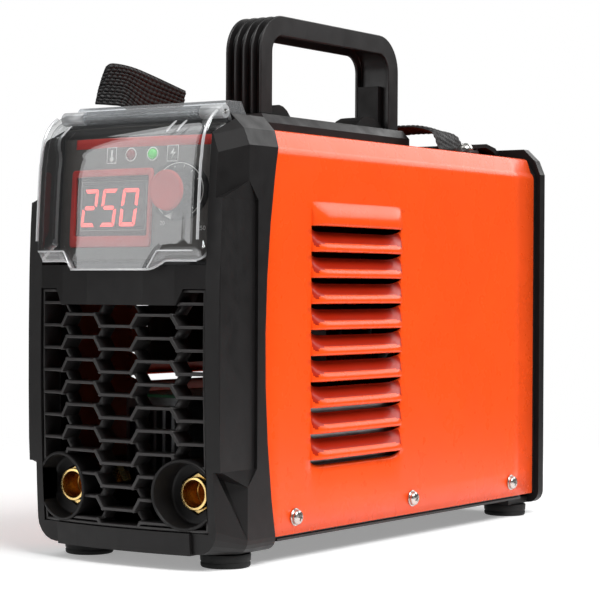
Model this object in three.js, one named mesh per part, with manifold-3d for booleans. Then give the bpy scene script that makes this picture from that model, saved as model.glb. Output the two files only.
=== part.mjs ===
// Stick welding inverter: a narrow portable box with a steel cover, moulded front and rear bezels,
// a hinged clear lid over the control panel, two output sockets, a carry handle, a shoulder strap
// and a fan-cooled power stage inside.
// Millimetres, +Z up. The front faces -Y. The origin is on the ground under the middle of the machine.
import * as THREE from "three";
import { mergeVertices } from "three/addons/utils/BufferGeometryUtils.js";
import Module from "manifold-3d";

const wasm = await Module();
wasm.setup();

// ---- Driving dimensions --------------------------------------------------------------------
const GAP = 0.3; // play between pieces that touch
const FRONT_Y = -160.4; // front edge of the front bezel at mid height
const REAR_Y = 169; // back face of the rear bezel
const BEZEL_HALF = 59.7; // half width over the bezels
const BEZEL_Z0 = 7; // underside of the bezels
const BEZEL_Z1 = 218.7; // top of the bezels
const MIDDLE_OF_LENGTH = 4.96; // halfway between the lid's front and the cable gland's end
const MID_Z = 106; // height where the front stands furthest forward
const PROFILE_RADIUS = 1110; // side-view radius of the front edge
const COLLAR_RADIUS = 475; // side-view radius of the edge that laps over the steel cover
const COLLAR_Y = -123; // that edge at mid height
const BOW_RADIUS = 238; // plan-view radius of the bowed front
const OPENING_HALF = 51.3; // half width between the bezel's wings

const SHEET = 1.2; // steel sheet thickness
const SHELL_HALF = 58; // half width of the steel cover
const SHELL_Y0 = -128;
const SHELL_Y1 = 154;
const SHELL_Z0 = 13.3;
const PAN_Z0 = 11; // underside of the base pan
const PAN_TOP = 46;
const SHOULDER_Z = 203.3; // where the side bends into the shoulder
const SHELL_TOP = 212.6;
const SHOULDER_RUN = 7; // sideways run of the shoulder

const LOUVRE_COUNT = 10;
const LOUVRE_PITCH = 13.05;
const LOUVRE_LIP_Z = 166.1; // lower lip of the top louvre
const LOUVRE_Y0 = -80.2;
const LOUVRE_Y1 = 2.6;
const LOUVRE_HEIGHT = 9.6;
const LOUVRE_REACH = 4.2; // how far a hood stands out

const BEAM_Z0 = 134.2; // bar between the grille and the panel
const BEAM_Z1 = 145.5;
const SILL_Z = 18.3; // top of the bezel's bottom bar
const PANEL_RECESS = 12; // panel depth behind the bowed front
const PANEL_Y1 = -141; // back of the control plate

const CELL_FLAT = 19.6; // honeycomb cell: length of its flat top
const CELL_SLANT = 3.25; // sideways run of its slanted sides
const CELL_PITCH = 11.1; // height of one cell
const CELL_TOP_Z = 121.5; // top bar of the side columns
const BAR = 1.5; // width of a honeycomb bar
const GRILLE_DEPTH = 7;

const SOCKET_X = 38;
const SOCKET_Z = 36.3;
const CUP_RADIUS = 17.1;
const CUP_WALL = 1.6;
const CUP_HEX = 10.3; // corner radius of the hexagonal hole in a cup's floor
const CUP_FLOOR = 3; // thickness of that floor
const BRASS_RADIUS = 8;
const BORE_RADIUS = 6.5;
const BRASS_Y = -151.1; // front face of the brass sockets

const KNOB_X = 27;
const KNOB_Z = 181.3;
const KNOB_RADIUS = 10.2;
const KNOB_HEIGHT = 9.5;
const WINDOW = { x0: -41.5, x1: 12.5, z0: 154.3, z1: 192.8 }; // red frame round the display
const LED_Z = 199.6;
const LED_RADIUS = 2.5;

const COVER_PROUD = 5.8; // how far the lid stands in front of the bowed front
const COVER_HALF = 50.9;
const COVER_WALL = 2;
const COVER_Z0 = 143;
const COVER_CORNER_Z = 203; // where the lid's front starts to curve back
const COVER_TOP_Z = 222.5;
const HINGE_Y = -143.5; // lid hinge axis
const HINGE_Z = 219;
const PIN_RADIUS = 1.2;

const HANDLE_HALF = 11.5;
const HANDLE_Y0 = -60.7;
const HANDLE_Y1 = 75.2;
const HANDLE_TOP = 278.8;
const HANDLE_BAR = 10.5; // depth of the grip's side plates, seen from the side
const HANDLE_CORNER = 20;
const BASE_TOP = 225.6; // top of the handle's base plate

const FOOT_X = 43;
const FOOT_RADIUS = 12.5;
const FOOT_YS = [-132, 148];
const SCREW_YS = [-95, 16, 127];
const SCREW_Z = 21.6;

const FAN_Z = 84;
const FAN_SIZE = 92;
const FAN_DEPTH = 25;
const FAN_Y1 = REAR_Y - 4.5;
const SWITCH_X = 24;
const SWITCH_Z = 176;
const GLAND_X = -26;
const GLAND_Z = 172;
const GLAND_REACH = 12; // how far the cable gland stands out of the back

const STRAP_THICKNESS = 1.8;
const STRAP_WIDTH = 30;
const STRAP_SCREW_FRONT = [-40, -88];
const STRAP_SCREW_REAR = [41.8, 100];

const BOARD_Z = 78; // underside of the main board
const BOARD_TOP = 79.6;
const BOARD_Y0 = -100;
const BOARD_Y1 = 108;
const HEATSINK_X = [14, 52];
const HEATSINK_Z0 = 30;
const FIN_COUNT = 7;
const FIN_THICKNESS = 2;
const CORE_Y0 = -64;
const CORE_Y1 = -14;
const CORE_Z0 = 80;
const CORE_Z1 = 116;
const CHOKE_Y = 24;
const CAPACITOR_X = 33;
const CAPACITOR_Y0 = 62;
const CAPACITOR_PITCH = 32;
const CAPACITOR_RADIUS = 13;
const CAPACITOR_HEIGHT = 45;

// ---- Solid helpers -------------------------------------------------------------------------
// A closed solid from a three.js geometry, whichever way round its faces were listed.
function solid(geometry) {
  const bare = geometry.index ? geometry.toNonIndexed() : geometry.clone();
  bare.deleteAttribute("normal");
  bare.deleteAttribute("uv");
  const merged = mergeVertices(bare, 1e-4);
  const vertProperties = new Float32Array(merged.attributes.position.array);
  const triVerts = new Uint32Array(merged.index.array);
  if (signedVolume(vertProperties, triVerts) < 0) {
    reverseFaces(triVerts);
  }
  return new wasm.Manifold(new wasm.Mesh({ numProp: 3, vertProperties, triVerts }));
}

function signedVolume(places, corners) {
  const at = (i) => new THREE.Vector3().fromArray(places, 3 * corners[i]);
  let total = 0;
  for (let i = 0; i < corners.length; i += 3) {
    total += at(i).dot(at(i + 1).cross(at(i + 2))) / 6;
  }
  return total;
}

function reverseFaces(corners) {
  for (let i = 0; i < corners.length; i += 3) {
    const first = corners[i];
    corners[i] = corners[i + 1];
    corners[i + 1] = first;
  }
}

function geometryOf(manifold) {
  const mesh = manifold.getMesh();
  const geometry = new THREE.BufferGeometry();
  geometry.setAttribute("position", new THREE.BufferAttribute(mesh.vertProperties, 3));
  geometry.setIndex(new THREE.BufferAttribute(mesh.triVerts, 1));
  geometry.computeVertexNormals();
  return geometry;
}

function shapeOf(points) {
  return new THREE.Shape(points.map(([a, b]) => new THREE.Vector2(a, b)));
}

function extruded(points, depth, steps = 1) {
  return new THREE.ExtrudeGeometry(shapeOf(points), { depth, steps, bevelEnabled: false });
}

// An outline of [x, y] points between two heights.
function prismZ(points, z0, z1) {
  return solid(extruded(points, z1 - z0).translate(0, 0, z0));
}

// An outline of [x, z] points between two places along Y.
function prismY(points, y0, y1) {
  return solid(extruded(points, y1 - y0).rotateX(Math.PI / 2).translate(0, y1, 0));
}

// An outline of [y, z] points between two places along X.
function prismX(points, x0, x1) {
  const turn = new THREE.Matrix4().makeBasis(
    new THREE.Vector3(0, 1, 0),
    new THREE.Vector3(0, 0, 1),
    new THREE.Vector3(1, 0, 0),
  );
  return solid(extruded(points, x1 - x0).applyMatrix4(turn).translate(x0, 0, 0));
}

function box(x0, x1, y0, y1, z0, z1) {
  const geometry = new THREE.BoxGeometry(x1 - x0, y1 - y0, z1 - z0);
  return solid(geometry.translate((x0 + x1) / 2, (y0 + y1) / 2, (z0 + z1) / 2));
}

// A lathe profile of [radius, distance along the axis], turned about an axis through (a, b).
function turnedZ(profile, x, y, z, sides = 24) {
  const points = profile.map(([r, h]) => new THREE.Vector2(r, h));
  return solid(new THREE.LatheGeometry(points, sides).rotateX(Math.PI / 2).translate(x, y, z));
}

function turnedY(profile, x, y, z, sides = 24) {
  const points = profile.map(([r, h]) => new THREE.Vector2(r, h));
  return solid(new THREE.LatheGeometry(points, sides).translate(x, y, z));
}

function turnedX(profile, x, y, z, sides = 24) {
  const points = profile.map(([r, h]) => new THREE.Vector2(r, h));
  return solid(new THREE.LatheGeometry(points, sides).rotateZ(-Math.PI / 2).translate(x, y, z));
}

function rod(r, h) {
  return [
    [0, 0],
    [r, 0],
    [r, h],
    [0, h],
  ];
}

function ring(r0, r1, h) {
  return [
    [r0, 0],
    [r1, 0],
    [r1, h],
    [r0, h],
    [r0, 0],
  ];
}

function union(...parts) {
  return parts.reduce((a, b) => a.add(b));
}

// The mirror image across the YZ plane.
function mirroredX(part) {
  return solid(geometryOf(part).scale(-1, 1, 1));
}

function arc(cx, cy, r, from, to, steps) {
  const points = [];
  for (let i = 0; i <= steps; i += 1) {
    const a = from + ((to - from) * i) / steps;
    points.push([cx + r * Math.cos(a), cy + r * Math.sin(a)]);
  }
  return points;
}

function roundedRect(a0, a1, b0, b1, r, steps = 3) {
  const quarter = Math.PI / 2;
  return [
    ...arc(a1 - r, b0 + r, r, -quarter, 0, steps),
    ...arc(a1 - r, b1 - r, r, 0, quarter, steps),
    ...arc(a0 + r, b1 - r, r, quarter, 2 * quarter, steps),
    ...arc(a0 + r, b0 + r, r, 2 * quarter, 3 * quarter, steps),
  ];
}

// ---- The machine's front surface -----------------------------------------------------------
function profileSag(z) {
  return (z - MID_Z) ** 2 / (2 * PROFILE_RADIUS);
}

// The bowed front between the wings: level with the wings' front edge at the opening's sides.
function frontY(x, z) {
  return FRONT_Y + (x * x - OPENING_HALF * OPENING_HALF) / (2 * BOW_RADIUS) + profileSag(z);
}

// A block whose front follows the bowed front at some offset, and whose back is flat.
function bowedBlock(half, z0, z1, offset, backY, steps = 3) {
  const columns = 6;
  const outline = [[half, backY]];
  for (let i = 0; i <= columns; i += 1) {
    const x = half - (2 * half * i) / columns;
    outline.push([x, frontY(x, MID_Z) + offset]);
  }
  outline.push([-half, backY]);
  const geometry = extruded(outline, z1 - z0, steps).translate(0, 0, z0);
  const place = geometry.attributes.position;
  for (let i = 0; i < place.count; i += 1) {
    if (place.getY(i) < backY - 1e-3) {
      place.setY(i, place.getY(i) + profileSag(place.getZ(i)));
    }
  }
  return solid(geometry);
}

// ---- Materials -----------------------------------------------------------------------------
function material(color, roughness, metalness = 0, opacity = 1) {
  return new THREE.MeshStandardMaterial({
    color,
    roughness,
    metalness,
    opacity,
    transparent: opacity < 1,
  });
}

const BLACK_PLASTIC = () => material(0x1d1c1c, 0.55);
const ORANGE_PAINT = () => material(0xf2551f, 0.25);
const STEEL = () => material(0x9a9a98, 0.35, 0.9);
const BLACK_STEEL = () => material(0x1a1a1a, 0.45, 0.3);
const BRASS = () => material(0xc9962f, 0.3, 1);
const RUBBER = () => material(0x151515, 0.8);
const ALUMINIUM = () => material(0xb4b6b8, 0.4, 0.9);
const COPPER = () => material(0xb4622f, 0.35, 1);

const machine = new THREE.Group();

// Every piece moves back by the same step, so the origin lands under the middle of the machine.
function add(name, part, finish) {
  const mesh = new THREE.Mesh(geometryOf(part).translate(0, -MIDDLE_OF_LENGTH, 0), finish);
  mesh.name = name;
  machine.add(mesh);
}

// ---- Front bezel ---------------------------------------------------------------------------
// Face-on outline [x, z] of a bezel: round bottom corners and two-step chamfered top corners.
function bezelOutline(half, bottom, top, corner) {
  const upper = [
    [half, top - 15.5],
    [half - 3.5, top - 7.2],
    [half - 11.2, top],
  ];
  return [
    ...arc(half - corner, bottom + corner, corner, -Math.PI / 2, 0, 5),
    ...upper,
    ...upper.map(([x, z]) => [-x, z]).reverse(),
    ...arc(-half + corner, bottom + corner, corner, Math.PI, (3 * Math.PI) / 2, 5),
  ];
}

function fullOutline(inset = 0) {
  return bezelOutline(BEZEL_HALF - inset, BEZEL_Z0 + inset, BEZEL_Z1 - inset, 7);
}

// A solid between two outlines [x, z] with the same number of points, the first one in front.
function loftY(front, y0, back, y1) {
  const count = front.length;
  const positions = [];
  const index = [];
  front.forEach(([x, z]) => positions.push(x, y0, z));
  back.forEach(([x, z]) => positions.push(x, y1, z));
  for (let i = 0; i < count; i += 1) {
    const j = (i + 1) % count;
    index.push(i, i + count, j, j, i + count, j + count);
  }
  const caps = THREE.ShapeUtils.triangulateShape(
    front.map(([x, z]) => new THREE.Vector2(x, z)),
    [],
  );
  caps.forEach(([a, b, c]) => {
    index.push(a, b, c);
    index.push(a + count, c + count, b + count);
  });
  const geometry = new THREE.BufferGeometry();
  geometry.setAttribute("position", new THREE.Float32BufferAttribute(positions, 3));
  geometry.setIndex(index);
  return solid(geometry);
}

function collarY(z) {
  return COLLAR_Y + (z - MID_Z) ** 2 / (2 * COLLAR_RADIUS);
}

// Side-view outline [y, z] of the front bezel.
function bezelSide() {
  const points = [];
  const steps = 8;
  const low = BEZEL_Z0 - 1;
  const high = BEZEL_Z1 + 1;
  for (let i = 0; i <= steps; i += 1) {
    const z = low + ((high - low) * i) / steps;
    points.push([FRONT_Y + profileSag(z), z]);
  }
  for (let i = 0; i <= steps; i += 1) {
    const z = high - ((high - low) * i) / steps;
    points.push([collarY(z), z]);
  }
  return points;
}

const FACET_Y = FRONT_Y + 23.5; // where the chiselled corners meet the collar
const MIDDLE_Y = FRONT_Y + 31; // where the flat middle of the side meets the collar
const MIDDLE_X = 58.0; // how far in the flat middle tapers
const MIDDLE_Z = [48, 177];
const CORNER_Z = [39.5, 186];

// Plan section [x, y] of the nearly flat middle of a bezel side.
function middleSection() {
  return [
    [0, FRONT_Y - 1],
    [BEZEL_HALF - 0.8, FRONT_Y - 1],
    [BEZEL_HALF, FRONT_Y + 1],
    [MIDDLE_X, MIDDLE_Y],
    [BEZEL_HALF, MIDDLE_Y + 4.5],
    [BEZEL_HALF, COLLAR_Y + 20],
    [0, COLLAR_Y + 20],
  ];
}

// A three-sided prism along X whose outer corners [x, y, z] each have their own x.
function facetPrism(corners, innerX) {
  const [a, b, c] = corners;
  const [d, e, f] = corners.map(([, y, z]) => [innerX, y, z]);
  const faces = [
    [a, b, c],
    [d, f, e],
    [a, d, e],
    [a, e, b],
    [b, e, f],
    [b, f, c],
    [c, f, d],
    [c, d, a],
  ];
  const geometry = new THREE.BufferGeometry();
  geometry.setAttribute("position", new THREE.Float32BufferAttribute(faces.flat(2), 3));
  return solid(geometry);
}

// The outside of the bezel: chiselled towards its corners, flat along the middle of each side.
function bezelBody() {
  const back = MIDDLE_Y + 0.01;
  const front = FRONT_Y - 8;
  const [z0, z1] = MIDDLE_Z;
  const [low, high] = CORNER_Z;
  const shoulder = FRONT_Y + 3;
  const region = prismX(
    [
      [front, z0],
      [shoulder, z0],
      [FACET_Y, low],
      [back, z0],
      [back, z1],
      [FACET_Y, high],
      [shoulder, z1],
      [front, z1],
    ],
    OPENING_HALF - 5,
    BEZEL_HALF + 5,
  );
  const noseOutline = bezelOutline(OPENING_HALF + 3.2, BEZEL_Z0 + 1.5, BEZEL_Z1 - 6, 13);
  const nose = loftY(noseOutline, FRONT_Y - 2, bezelOutline(BEZEL_HALF, BEZEL_Z0, BEZEL_Z1, 7), FACET_Y);
  const corners = nose.add(prismY(fullOutline(), FACET_Y, COLLAR_Y + 20));
  const middle = prismZ(middleSection(), z0, z1);
  const lower = facetPrism(
    [
      [BEZEL_HALF, shoulder, z0],
      [BEZEL_HALF, FACET_Y, low],
      [MIDDLE_X, back, z0],
    ],
    OPENING_HALF - 8,
  );
  const upper = facetPrism(
    [
      [BEZEL_HALF, shoulder, z1],
      [MIDDLE_X, back, z1],
      [BEZEL_HALF, FACET_Y, high],
    ],
    OPENING_HALF - 8,
  );
  const pad = union(middle, lower, upper);
  return corners
    .subtract(region)
    .subtract(mirroredX(region))
    .add(pad)
    .add(mirroredX(pad))
    .intersect(prismX(bezelSide(), -70, 70));
}

function shieldOutline(grow = 0) {
  return [
    [-40.4 - grow, BEAM_Z0 + 2],
    [-35.7 - grow, 126.3 - grow],
    [35.7 + grow, 126.3 - grow],
    [40.4 + grow, BEAM_Z0 + 2],
  ];
}

// Face-on outline [x, z] of the steel cover; a positive inset makes it smaller.
function coverOutline(inset, bottom = SHELL_Z0) {
  const half = SHELL_HALF - inset;
  const run = SHELL_HALF - SHOULDER_RUN - inset * 0.5;
  const bend = SHOULDER_Z - inset * 0.3;
  const top = SHELL_TOP - inset;
  return [
    [-half, bottom],
    [half, bottom],
    [half, bend],
    [run + 1.4, top - 1.4],
    [run - 1.2, top],
    [-run + 1.2, top],
    [-run - 1.4, top - 1.4],
    [-half, bend],
  ];
}

function frontBezel() {
  const frontStart = FRONT_Y - 20;
  const hollow = prismY(bezelOutline(55.8, BEZEL_Z0 + 4, BEZEL_Z1 - 4.5, 5), PANEL_Y1 + 3, COLLAR_Y + 30);
  const lap = prismY(coverOutline(-GAP, SHELL_Z0 - GAP), SHELL_Y0 - 1, COLLAR_Y + 30);
  const notch = box(-OPENING_HALF, OPENING_HALF, frontStart, PANEL_Y1 + GAP, BEAM_Z1, BEZEL_Z1 + 20);
  const hingePocket = box(-OPENING_HALF, OPENING_HALF, frontStart, HINGE_Y + 6.2, 214.8, BEZEL_Z1 + 20);
  const panRoom = box(-57, 57, SHELL_Y0, COLLAR_Y + 30, 11 - GAP, 14);
  const display = box(-44, 42, frontStart, COLLAR_Y, 151, 206);
  const window = box(-OPENING_HALF, OPENING_HALF, frontStart, PANEL_Y1 + 20, SILL_Z, BEAM_Z0);
  const shield = prismY(shieldOutline(), frontStart, FRONT_Y + 12);
  const bar = box(-60, 60, frontStart, FRONT_Y + 12, BEAM_Z0 - 0.1, BEAM_Z1);
  const beam = bowedBlock(OPENING_HALF + 1, 120, BEAM_Z1, 0, FRONT_Y + 12).intersect(bar.add(shield));
  const sill = bowedBlock(OPENING_HALF - 10, BEZEL_Z0 + 0.5, SILL_Z, 0, FRONT_Y + 12);
  return bezelBody()
    .subtract(hollow)
    .subtract(lap)
    .subtract(notch)
    .subtract(hingePocket)
    .subtract(panRoom)
    .subtract(window)
    .subtract(display)
    .add(beam)
    .add(sill);
}

// ---- Honeycomb grille and socket cups ------------------------------------------------------
function hexCell(x, z) {
  const half = CELL_FLAT / 2 - BAR / 2;
  const side = CELL_SLANT;
  const rise = (CELL_PITCH - BAR) / 2;
  return [
    [x - half, z - rise],
    [x + half, z - rise],
    [x + half + side, z],
    [x + half, z + rise],
    [x - half, z + rise],
    [x - half - side, z],
  ];
}

// The honeycomb, cut clear of the shield above it and of the two socket cups below.
function frontGrille() {
  const half = OPENING_HALF - GAP;
  const z0 = SILL_Z + GAP;
  const z1 = BEAM_Z0 - GAP;
  const frontY0 = FRONT_Y - 20;
  const backY = FRONT_Y + GRILLE_DEPTH + 3;
  let part = bowedBlock(half, z0, z1, 1, backY);
  const step = CELL_FLAT + CELL_SLANT;
  const rim = box(-half + BAR, half - BAR, -200, 0, z0 + BAR, z1 - BAR);
  for (let column = -2; column <= 2; column += 1) {
    const shift = column % 2 === 0 ? CELL_PITCH / 2 : 0;
    for (let row = -2; row < 10; row += 1) {
      const z = CELL_TOP_Z - CELL_PITCH * (row + 0.5) - shift;
      const cell = prismY(hexCell(column * step, z), frontY0, backY + 1);
      part = part.subtract(cell.intersect(rim));
    }
  }
  part = part.subtract(prismY(shieldOutline(GAP), frontY0, backY + 1));
  for (const side of [-1, 1]) {
    const room = rod(CUP_RADIUS + GAP, backY + 1 - frontY0);
    part = part.subtract(turnedY(room, side * SOCKET_X, frontY0, SOCKET_Z, 28));
    const inner = side * (SOCKET_X - 5);
    const outer = side * (half + 1);
    const x0 = Math.min(inner, outer);
    const x1 = Math.max(inner, outer);
    part = part.subtract(box(x0, x1, frontY0, backY + 1, 0, SOCKET_Z));
  }
  return part;
}

// A socket cup: a round wall cut to the bowed front, closed behind by a floor with a hexagonal hole.
function socketCup(x) {
  const half = OPENING_HALF - GAP;
  const startY = FRONT_Y - 12;
  const backY = BRASS_Y + CUP_FLOOR;
  const body = turnedY(rod(CUP_RADIUS, backY - startY), x, startY, SOCKET_Z, 28);
  const front = bowedBlock(half, SILL_Z + GAP, 60, 0, backY + 1);
  const hollow = turnedY(rod(CUP_RADIUS - CUP_WALL, BRASS_Y - startY), x, startY, SOCKET_Z, 28);
  const hexagon = arc(x, SOCKET_Z, CUP_HEX, Math.PI / 6, (11 * Math.PI) / 6, 5);
  return body.intersect(front).subtract(hollow).subtract(prismY(hexagon, startY, backY + 1));
}

function dinseSocket(x) {
  const profile = [
    [0, 20],
    [BORE_RADIUS, 20],
    [BORE_RADIUS, 0.8],
    [BORE_RADIUS + 0.5, 0],
    [BRASS_RADIUS - 0.5, 0],
    [BRASS_RADIUS, 0.6],
    [BRASS_RADIUS, 3.8],
    [9.8, 3.8],
    [9.8, 23],
    [5, 23],
    [5, 40],
    [0, 40],
  ];
  return turnedY(profile, x, BRASS_Y, SOCKET_Z, 24);
}

function socketNut(x) {
  const hex = prismY(arc(x, SOCKET_Z, 8.5, 0, (5 * Math.PI) / 3, 5), BRASS_Y + 29, BRASS_Y + 34);
  return hex.subtract(turnedY(rod(5 + GAP, 20), x, BRASS_Y + 22, SOCKET_Z, 20));
}

// ---- Control panel -------------------------------------------------------------------------
function panelHoles(part, frontY0) {
  const knobHole = turnedY(rod(3.6, 60), KNOB_X, frontY0, KNOB_Z, 16);
  let cut = part.subtract(knobHole);
  for (const x of [-2.3, 11]) {
    cut = cut.subtract(turnedY(rod(LED_RADIUS + GAP, 60), x, frontY0, LED_Z, 16));
  }
  const { x0, x1, z0, z1 } = WINDOW;
  return cut.subtract(box(x0 + 2.5, x1 - 2.5, frontY0, frontY0 + 60, z0 + 4.5, z1 - 3));
}

const PANEL_Z = [BEAM_Z1 + GAP, 214.5];
const PANEL_HALF = OPENING_HALF - GAP;
const LABEL_THICKNESS = 0.8;

function controlPlate() {
  const recess = PANEL_RECESS + LABEL_THICKNESS + GAP;
  const plate = bowedBlock(PANEL_HALF, PANEL_Z[0], PANEL_Z[1], recess, PANEL_Y1);
  return panelHoles(plate, FRONT_Y - 10);
}

function panelLabel() {
  const z0 = PANEL_Z[0] + 2;
  const z1 = PANEL_Z[1] - 1;
  const outer = bowedBlock(PANEL_HALF - 1, z0, z1, PANEL_RECESS, PANEL_Y1 + 5);
  const back = bowedBlock(PANEL_HALF + 1, z0 - 1, z1 + 1, PANEL_RECESS + LABEL_THICKNESS, PANEL_Y1 + 6);
  return panelHoles(outer.subtract(back), FRONT_Y - 10);
}

function displayFrame() {
  const { x0, x1, z0, z1 } = WINDOW;
  const slab = bowedBlock(PANEL_HALF, z0, z1, PANEL_RECESS - GAP - 1.2, PANEL_Y1)
    .subtract(bowedBlock(PANEL_HALF + 1, z0 - 1, z1 + 1, PANEL_RECESS - GAP, PANEL_Y1 + 1))
    .intersect(prismY(roundedRect(x0, x1, z0, z1, 2), -190, -100));
  return slab.subtract(box(x0 + 3.4, x1 - 2.3, -190, -100, z0 + 5.6, z1 - 3.4));
}

function digitBlock() {
  const { x0, x1, z0, z1 } = WINDOW;
  const y0 = frontY(x0, z1) + PANEL_RECESS;
  return box(x0 + 3, x1 - 3, y0, y0 + 8, z0 + 5, z1 - 3.5);
}

const KNOB_PLAY = 1; // air between the knob and the label
const KNOB_HUB = 4; // thickness of the knob's face over its hollow

function currentKnob() {
  const panelY = frontY(KNOB_X, KNOB_Z) + PANEL_RECESS;
  const profile = [
    [0, 0],
    [KNOB_RADIUS - 1.4, 0],
    [KNOB_RADIUS - 0.5, 0.5],
    [KNOB_RADIUS, 1.6],
    [KNOB_RADIUS, KNOB_HEIGHT - 1.5],
    [3.2, KNOB_HEIGHT - 1.5],
    [3.2, KNOB_HUB],
    [0, KNOB_HUB],
  ];
  return turnedY(profile, KNOB_X, panelY - KNOB_HEIGHT - KNOB_PLAY, KNOB_Z, 24);
}

// The shaft turns with the knob; the body behind the panel does not.
function knobShaft() {
  const panelY = frontY(KNOB_X, KNOB_Z) + PANEL_RECESS;
  const start = panelY - KNOB_HEIGHT - KNOB_PLAY + KNOB_HUB + GAP;
  return turnedY(rod(2.9, PANEL_Y1 - start), KNOB_X, start, KNOB_Z, 16);
}

function potentiometer() {
  return turnedY(rod(8, 6), KNOB_X, PANEL_Y1 + GAP, KNOB_Z, 20);
}

function ledLamp(x) {
  const panelY = frontY(x, LED_Z) + PANEL_RECESS;
  const profile = [
    [0, -2.2],
    [1.3, -1.9],
    [2.1, -1.1],
    [LED_RADIUS, 0],
    [LED_RADIUS, PANEL_Y1 + 1 - panelY],
    [0, PANEL_Y1 + 1 - panelY],
  ];
  return turnedY(profile, x, panelY, LED_Z, 16);
}

function controlBoard() {
  return box(-48, 46, PANEL_Y1 + 7, PANEL_Y1 + 8.6, 149, 208);
}

// ---- Clear lid -----------------------------------------------------------------------------
// The lid's outside, or its hollow at an inset: bowed in plan, rounded over at the top.
function lidBlock(inset, back) {
  const half = COVER_HALF - inset;
  const topZ = COVER_TOP_Z - inset;
  const body = bowedBlock(half, COVER_Z0 - 1 - inset * 4, topZ, -COVER_PROUD + inset, back, 8);
  const y = FRONT_Y - COVER_PROUD + inset - 3;
  const dome = prismX(
    [
      [y - 20, COVER_Z0 - 20],
      [y - 20, 198],
      [y + 1, 202 - inset],
      [y + 5, 209 - inset],
      [y + 11, 215 - inset],
      [y + 18, 219.5 - inset],
      [y + 25, topZ],
      [back + 5, topZ + 0.1],
      [back + 5, COVER_Z0 - 20],
    ],
    -70,
    70,
  );
  return body.intersect(dome);
}

function clearCover() {
  const outer = lidBlock(0, PANEL_Y1 - 1);
  const inner = lidBlock(COVER_WALL, PANEL_Y1 + 5);
  const tab = prismY(
    [
      [-80, 150],
      [-31, 147],
      [-24, COVER_Z0],
      [24, COVER_Z0],
      [31, 147],
      [80, 150],
      [80, 240],
      [-80, 240],
    ],
    -220,
    -100,
  );
  const panelClear = bowedBlock(COVER_HALF + 5, COVER_Z0 - 10, 240, PANEL_RECESS - 2.5, PANEL_Y1 + 10);
  const belowHinge = box(-70, 70, -200, -100, COVER_Z0 - 10, 216.3);
  const lid = outer.subtract(inner).intersect(tab).subtract(panelClear.intersect(belowHinge));
  const knuckle = prismX(arc(HINGE_Y, HINGE_Z, 3.4, 0, (11 * Math.PI) / 6, 11), -COVER_HALF, COVER_HALF);
  const middle = box(-36, 36, -160, -130, 200, 240);
  const bore = turnedX(rod(PIN_RADIUS + GAP, 120), -60, HINGE_Y, HINGE_Z, 16);
  return lid
    .add(knuckle)
    .subtract(middle.intersect(box(-70, 70, HINGE_Y - 3.8, -100, 200, 240)))
    .subtract(bore);
}

function hingePin() {
  return turnedX(rod(PIN_RADIUS, 2 * (OPENING_HALF - 1)), -(OPENING_HALF - 1), HINGE_Y, HINGE_Z, 16);
}

// The block on top of the bezel that carries the lid's hinge pin.
function hingeBlock() {
  const top = 225;
  const y0 = HINGE_Y + 5.8;
  const y1 = FRONT_Y + 38;
  const body = prismX(
    [
      [y0, BEZEL_Z1 + GAP],
      [y0, top - 1.5],
      [y0 + 1.5, top],
      [y1 - 4, top],
      [y1, BEZEL_Z1 + GAP],
    ],
    -47,
    47,
  );
  const knuckleHalf = 35.7;
  const knuckleRadius = 3.4;
  const round = arc(HINGE_Y, HINGE_Z, knuckleRadius, 0, (11 * Math.PI) / 6, 11);
  const knuckle = prismX(round, -knuckleHalf, knuckleHalf);
  const web = box(-knuckleHalf, knuckleHalf, HINGE_Y + 1, y0 + 1, HINGE_Z, HINGE_Z + 2.6);
  const bore = turnedX(rod(PIN_RADIUS + GAP, 120), -60, HINGE_Y, HINGE_Z, 16);
  return union(body, knuckle, web).subtract(bore);
}

// ---- Steel cover and base ------------------------------------------------------------------
// A hood over one louvre slot, on the right side: a wedge that opens downwards.
function louvreWedge(z, inset) {
  const x0 = SHELL_HALF - SHEET - 2;
  const lip = SHELL_HALF + LOUVRE_REACH - inset;
  const wall = SHELL_HALF;
  const y0 = LOUVRE_Y0 + inset;
  const y1 = LOUVRE_Y1 - inset;
  const low = inset > 0 ? z - 1 : z;
  const top = z + LOUVRE_HEIGHT - inset * 1.6;
  const slope = prismY(
    [
      [x0, low],
      [lip, low],
      [lip - 0.6, z + 3],
      [wall, top],
      [x0, top],
    ],
    y0,
    y1,
  );
  const taper = prismZ(
    [
      [x0, y0],
      [wall, y0],
      [lip, y0 + 4],
      [lip, y1 - 4],
      [wall, y1],
      [x0, y1],
    ],
    low - 1,
    top + 1,
  );
  return slope.intersect(taper);
}

function shellCover() {
  const outer = prismY(coverOutline(0), SHELL_Y0, SHELL_Y1);
  const inner = prismY(coverOutline(SHEET, SHELL_Z0 - 2), SHELL_Y0 - 1, SHELL_Y1 + 1);
  let part = outer.subtract(inner);
  let hoods = null;
  let cuts = null;
  for (let i = 0; i < LOUVRE_COUNT; i += 1) {
    const z = LOUVRE_LIP_Z - LOUVRE_PITCH * i;
    const hood = louvreWedge(z, 0).intersect(box(SHELL_HALF - SHEET, 80, -100, 20, 0, 220));
    const cut = louvreWedge(z, 0.9);
    hoods = hoods ? hoods.add(hood) : hood;
    cuts = cuts ? cuts.add(cut) : cut;
  }
  part = part.add(hoods).add(mirroredX(hoods)).subtract(cuts).subtract(mirroredX(cuts));
  for (const y of SCREW_YS) {
    part = part.subtract(turnedX(rod(2.3, 140), -70, y, SCREW_Z, 12));
  }
  for (const y of [HANDLE_Y0 + 12, HANDLE_Y1 - 12]) {
    part = part.subtract(turnedZ(rod(2.3, 20), 0, y, SHELL_TOP - 10, 12));
  }
  return part;
}

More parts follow.
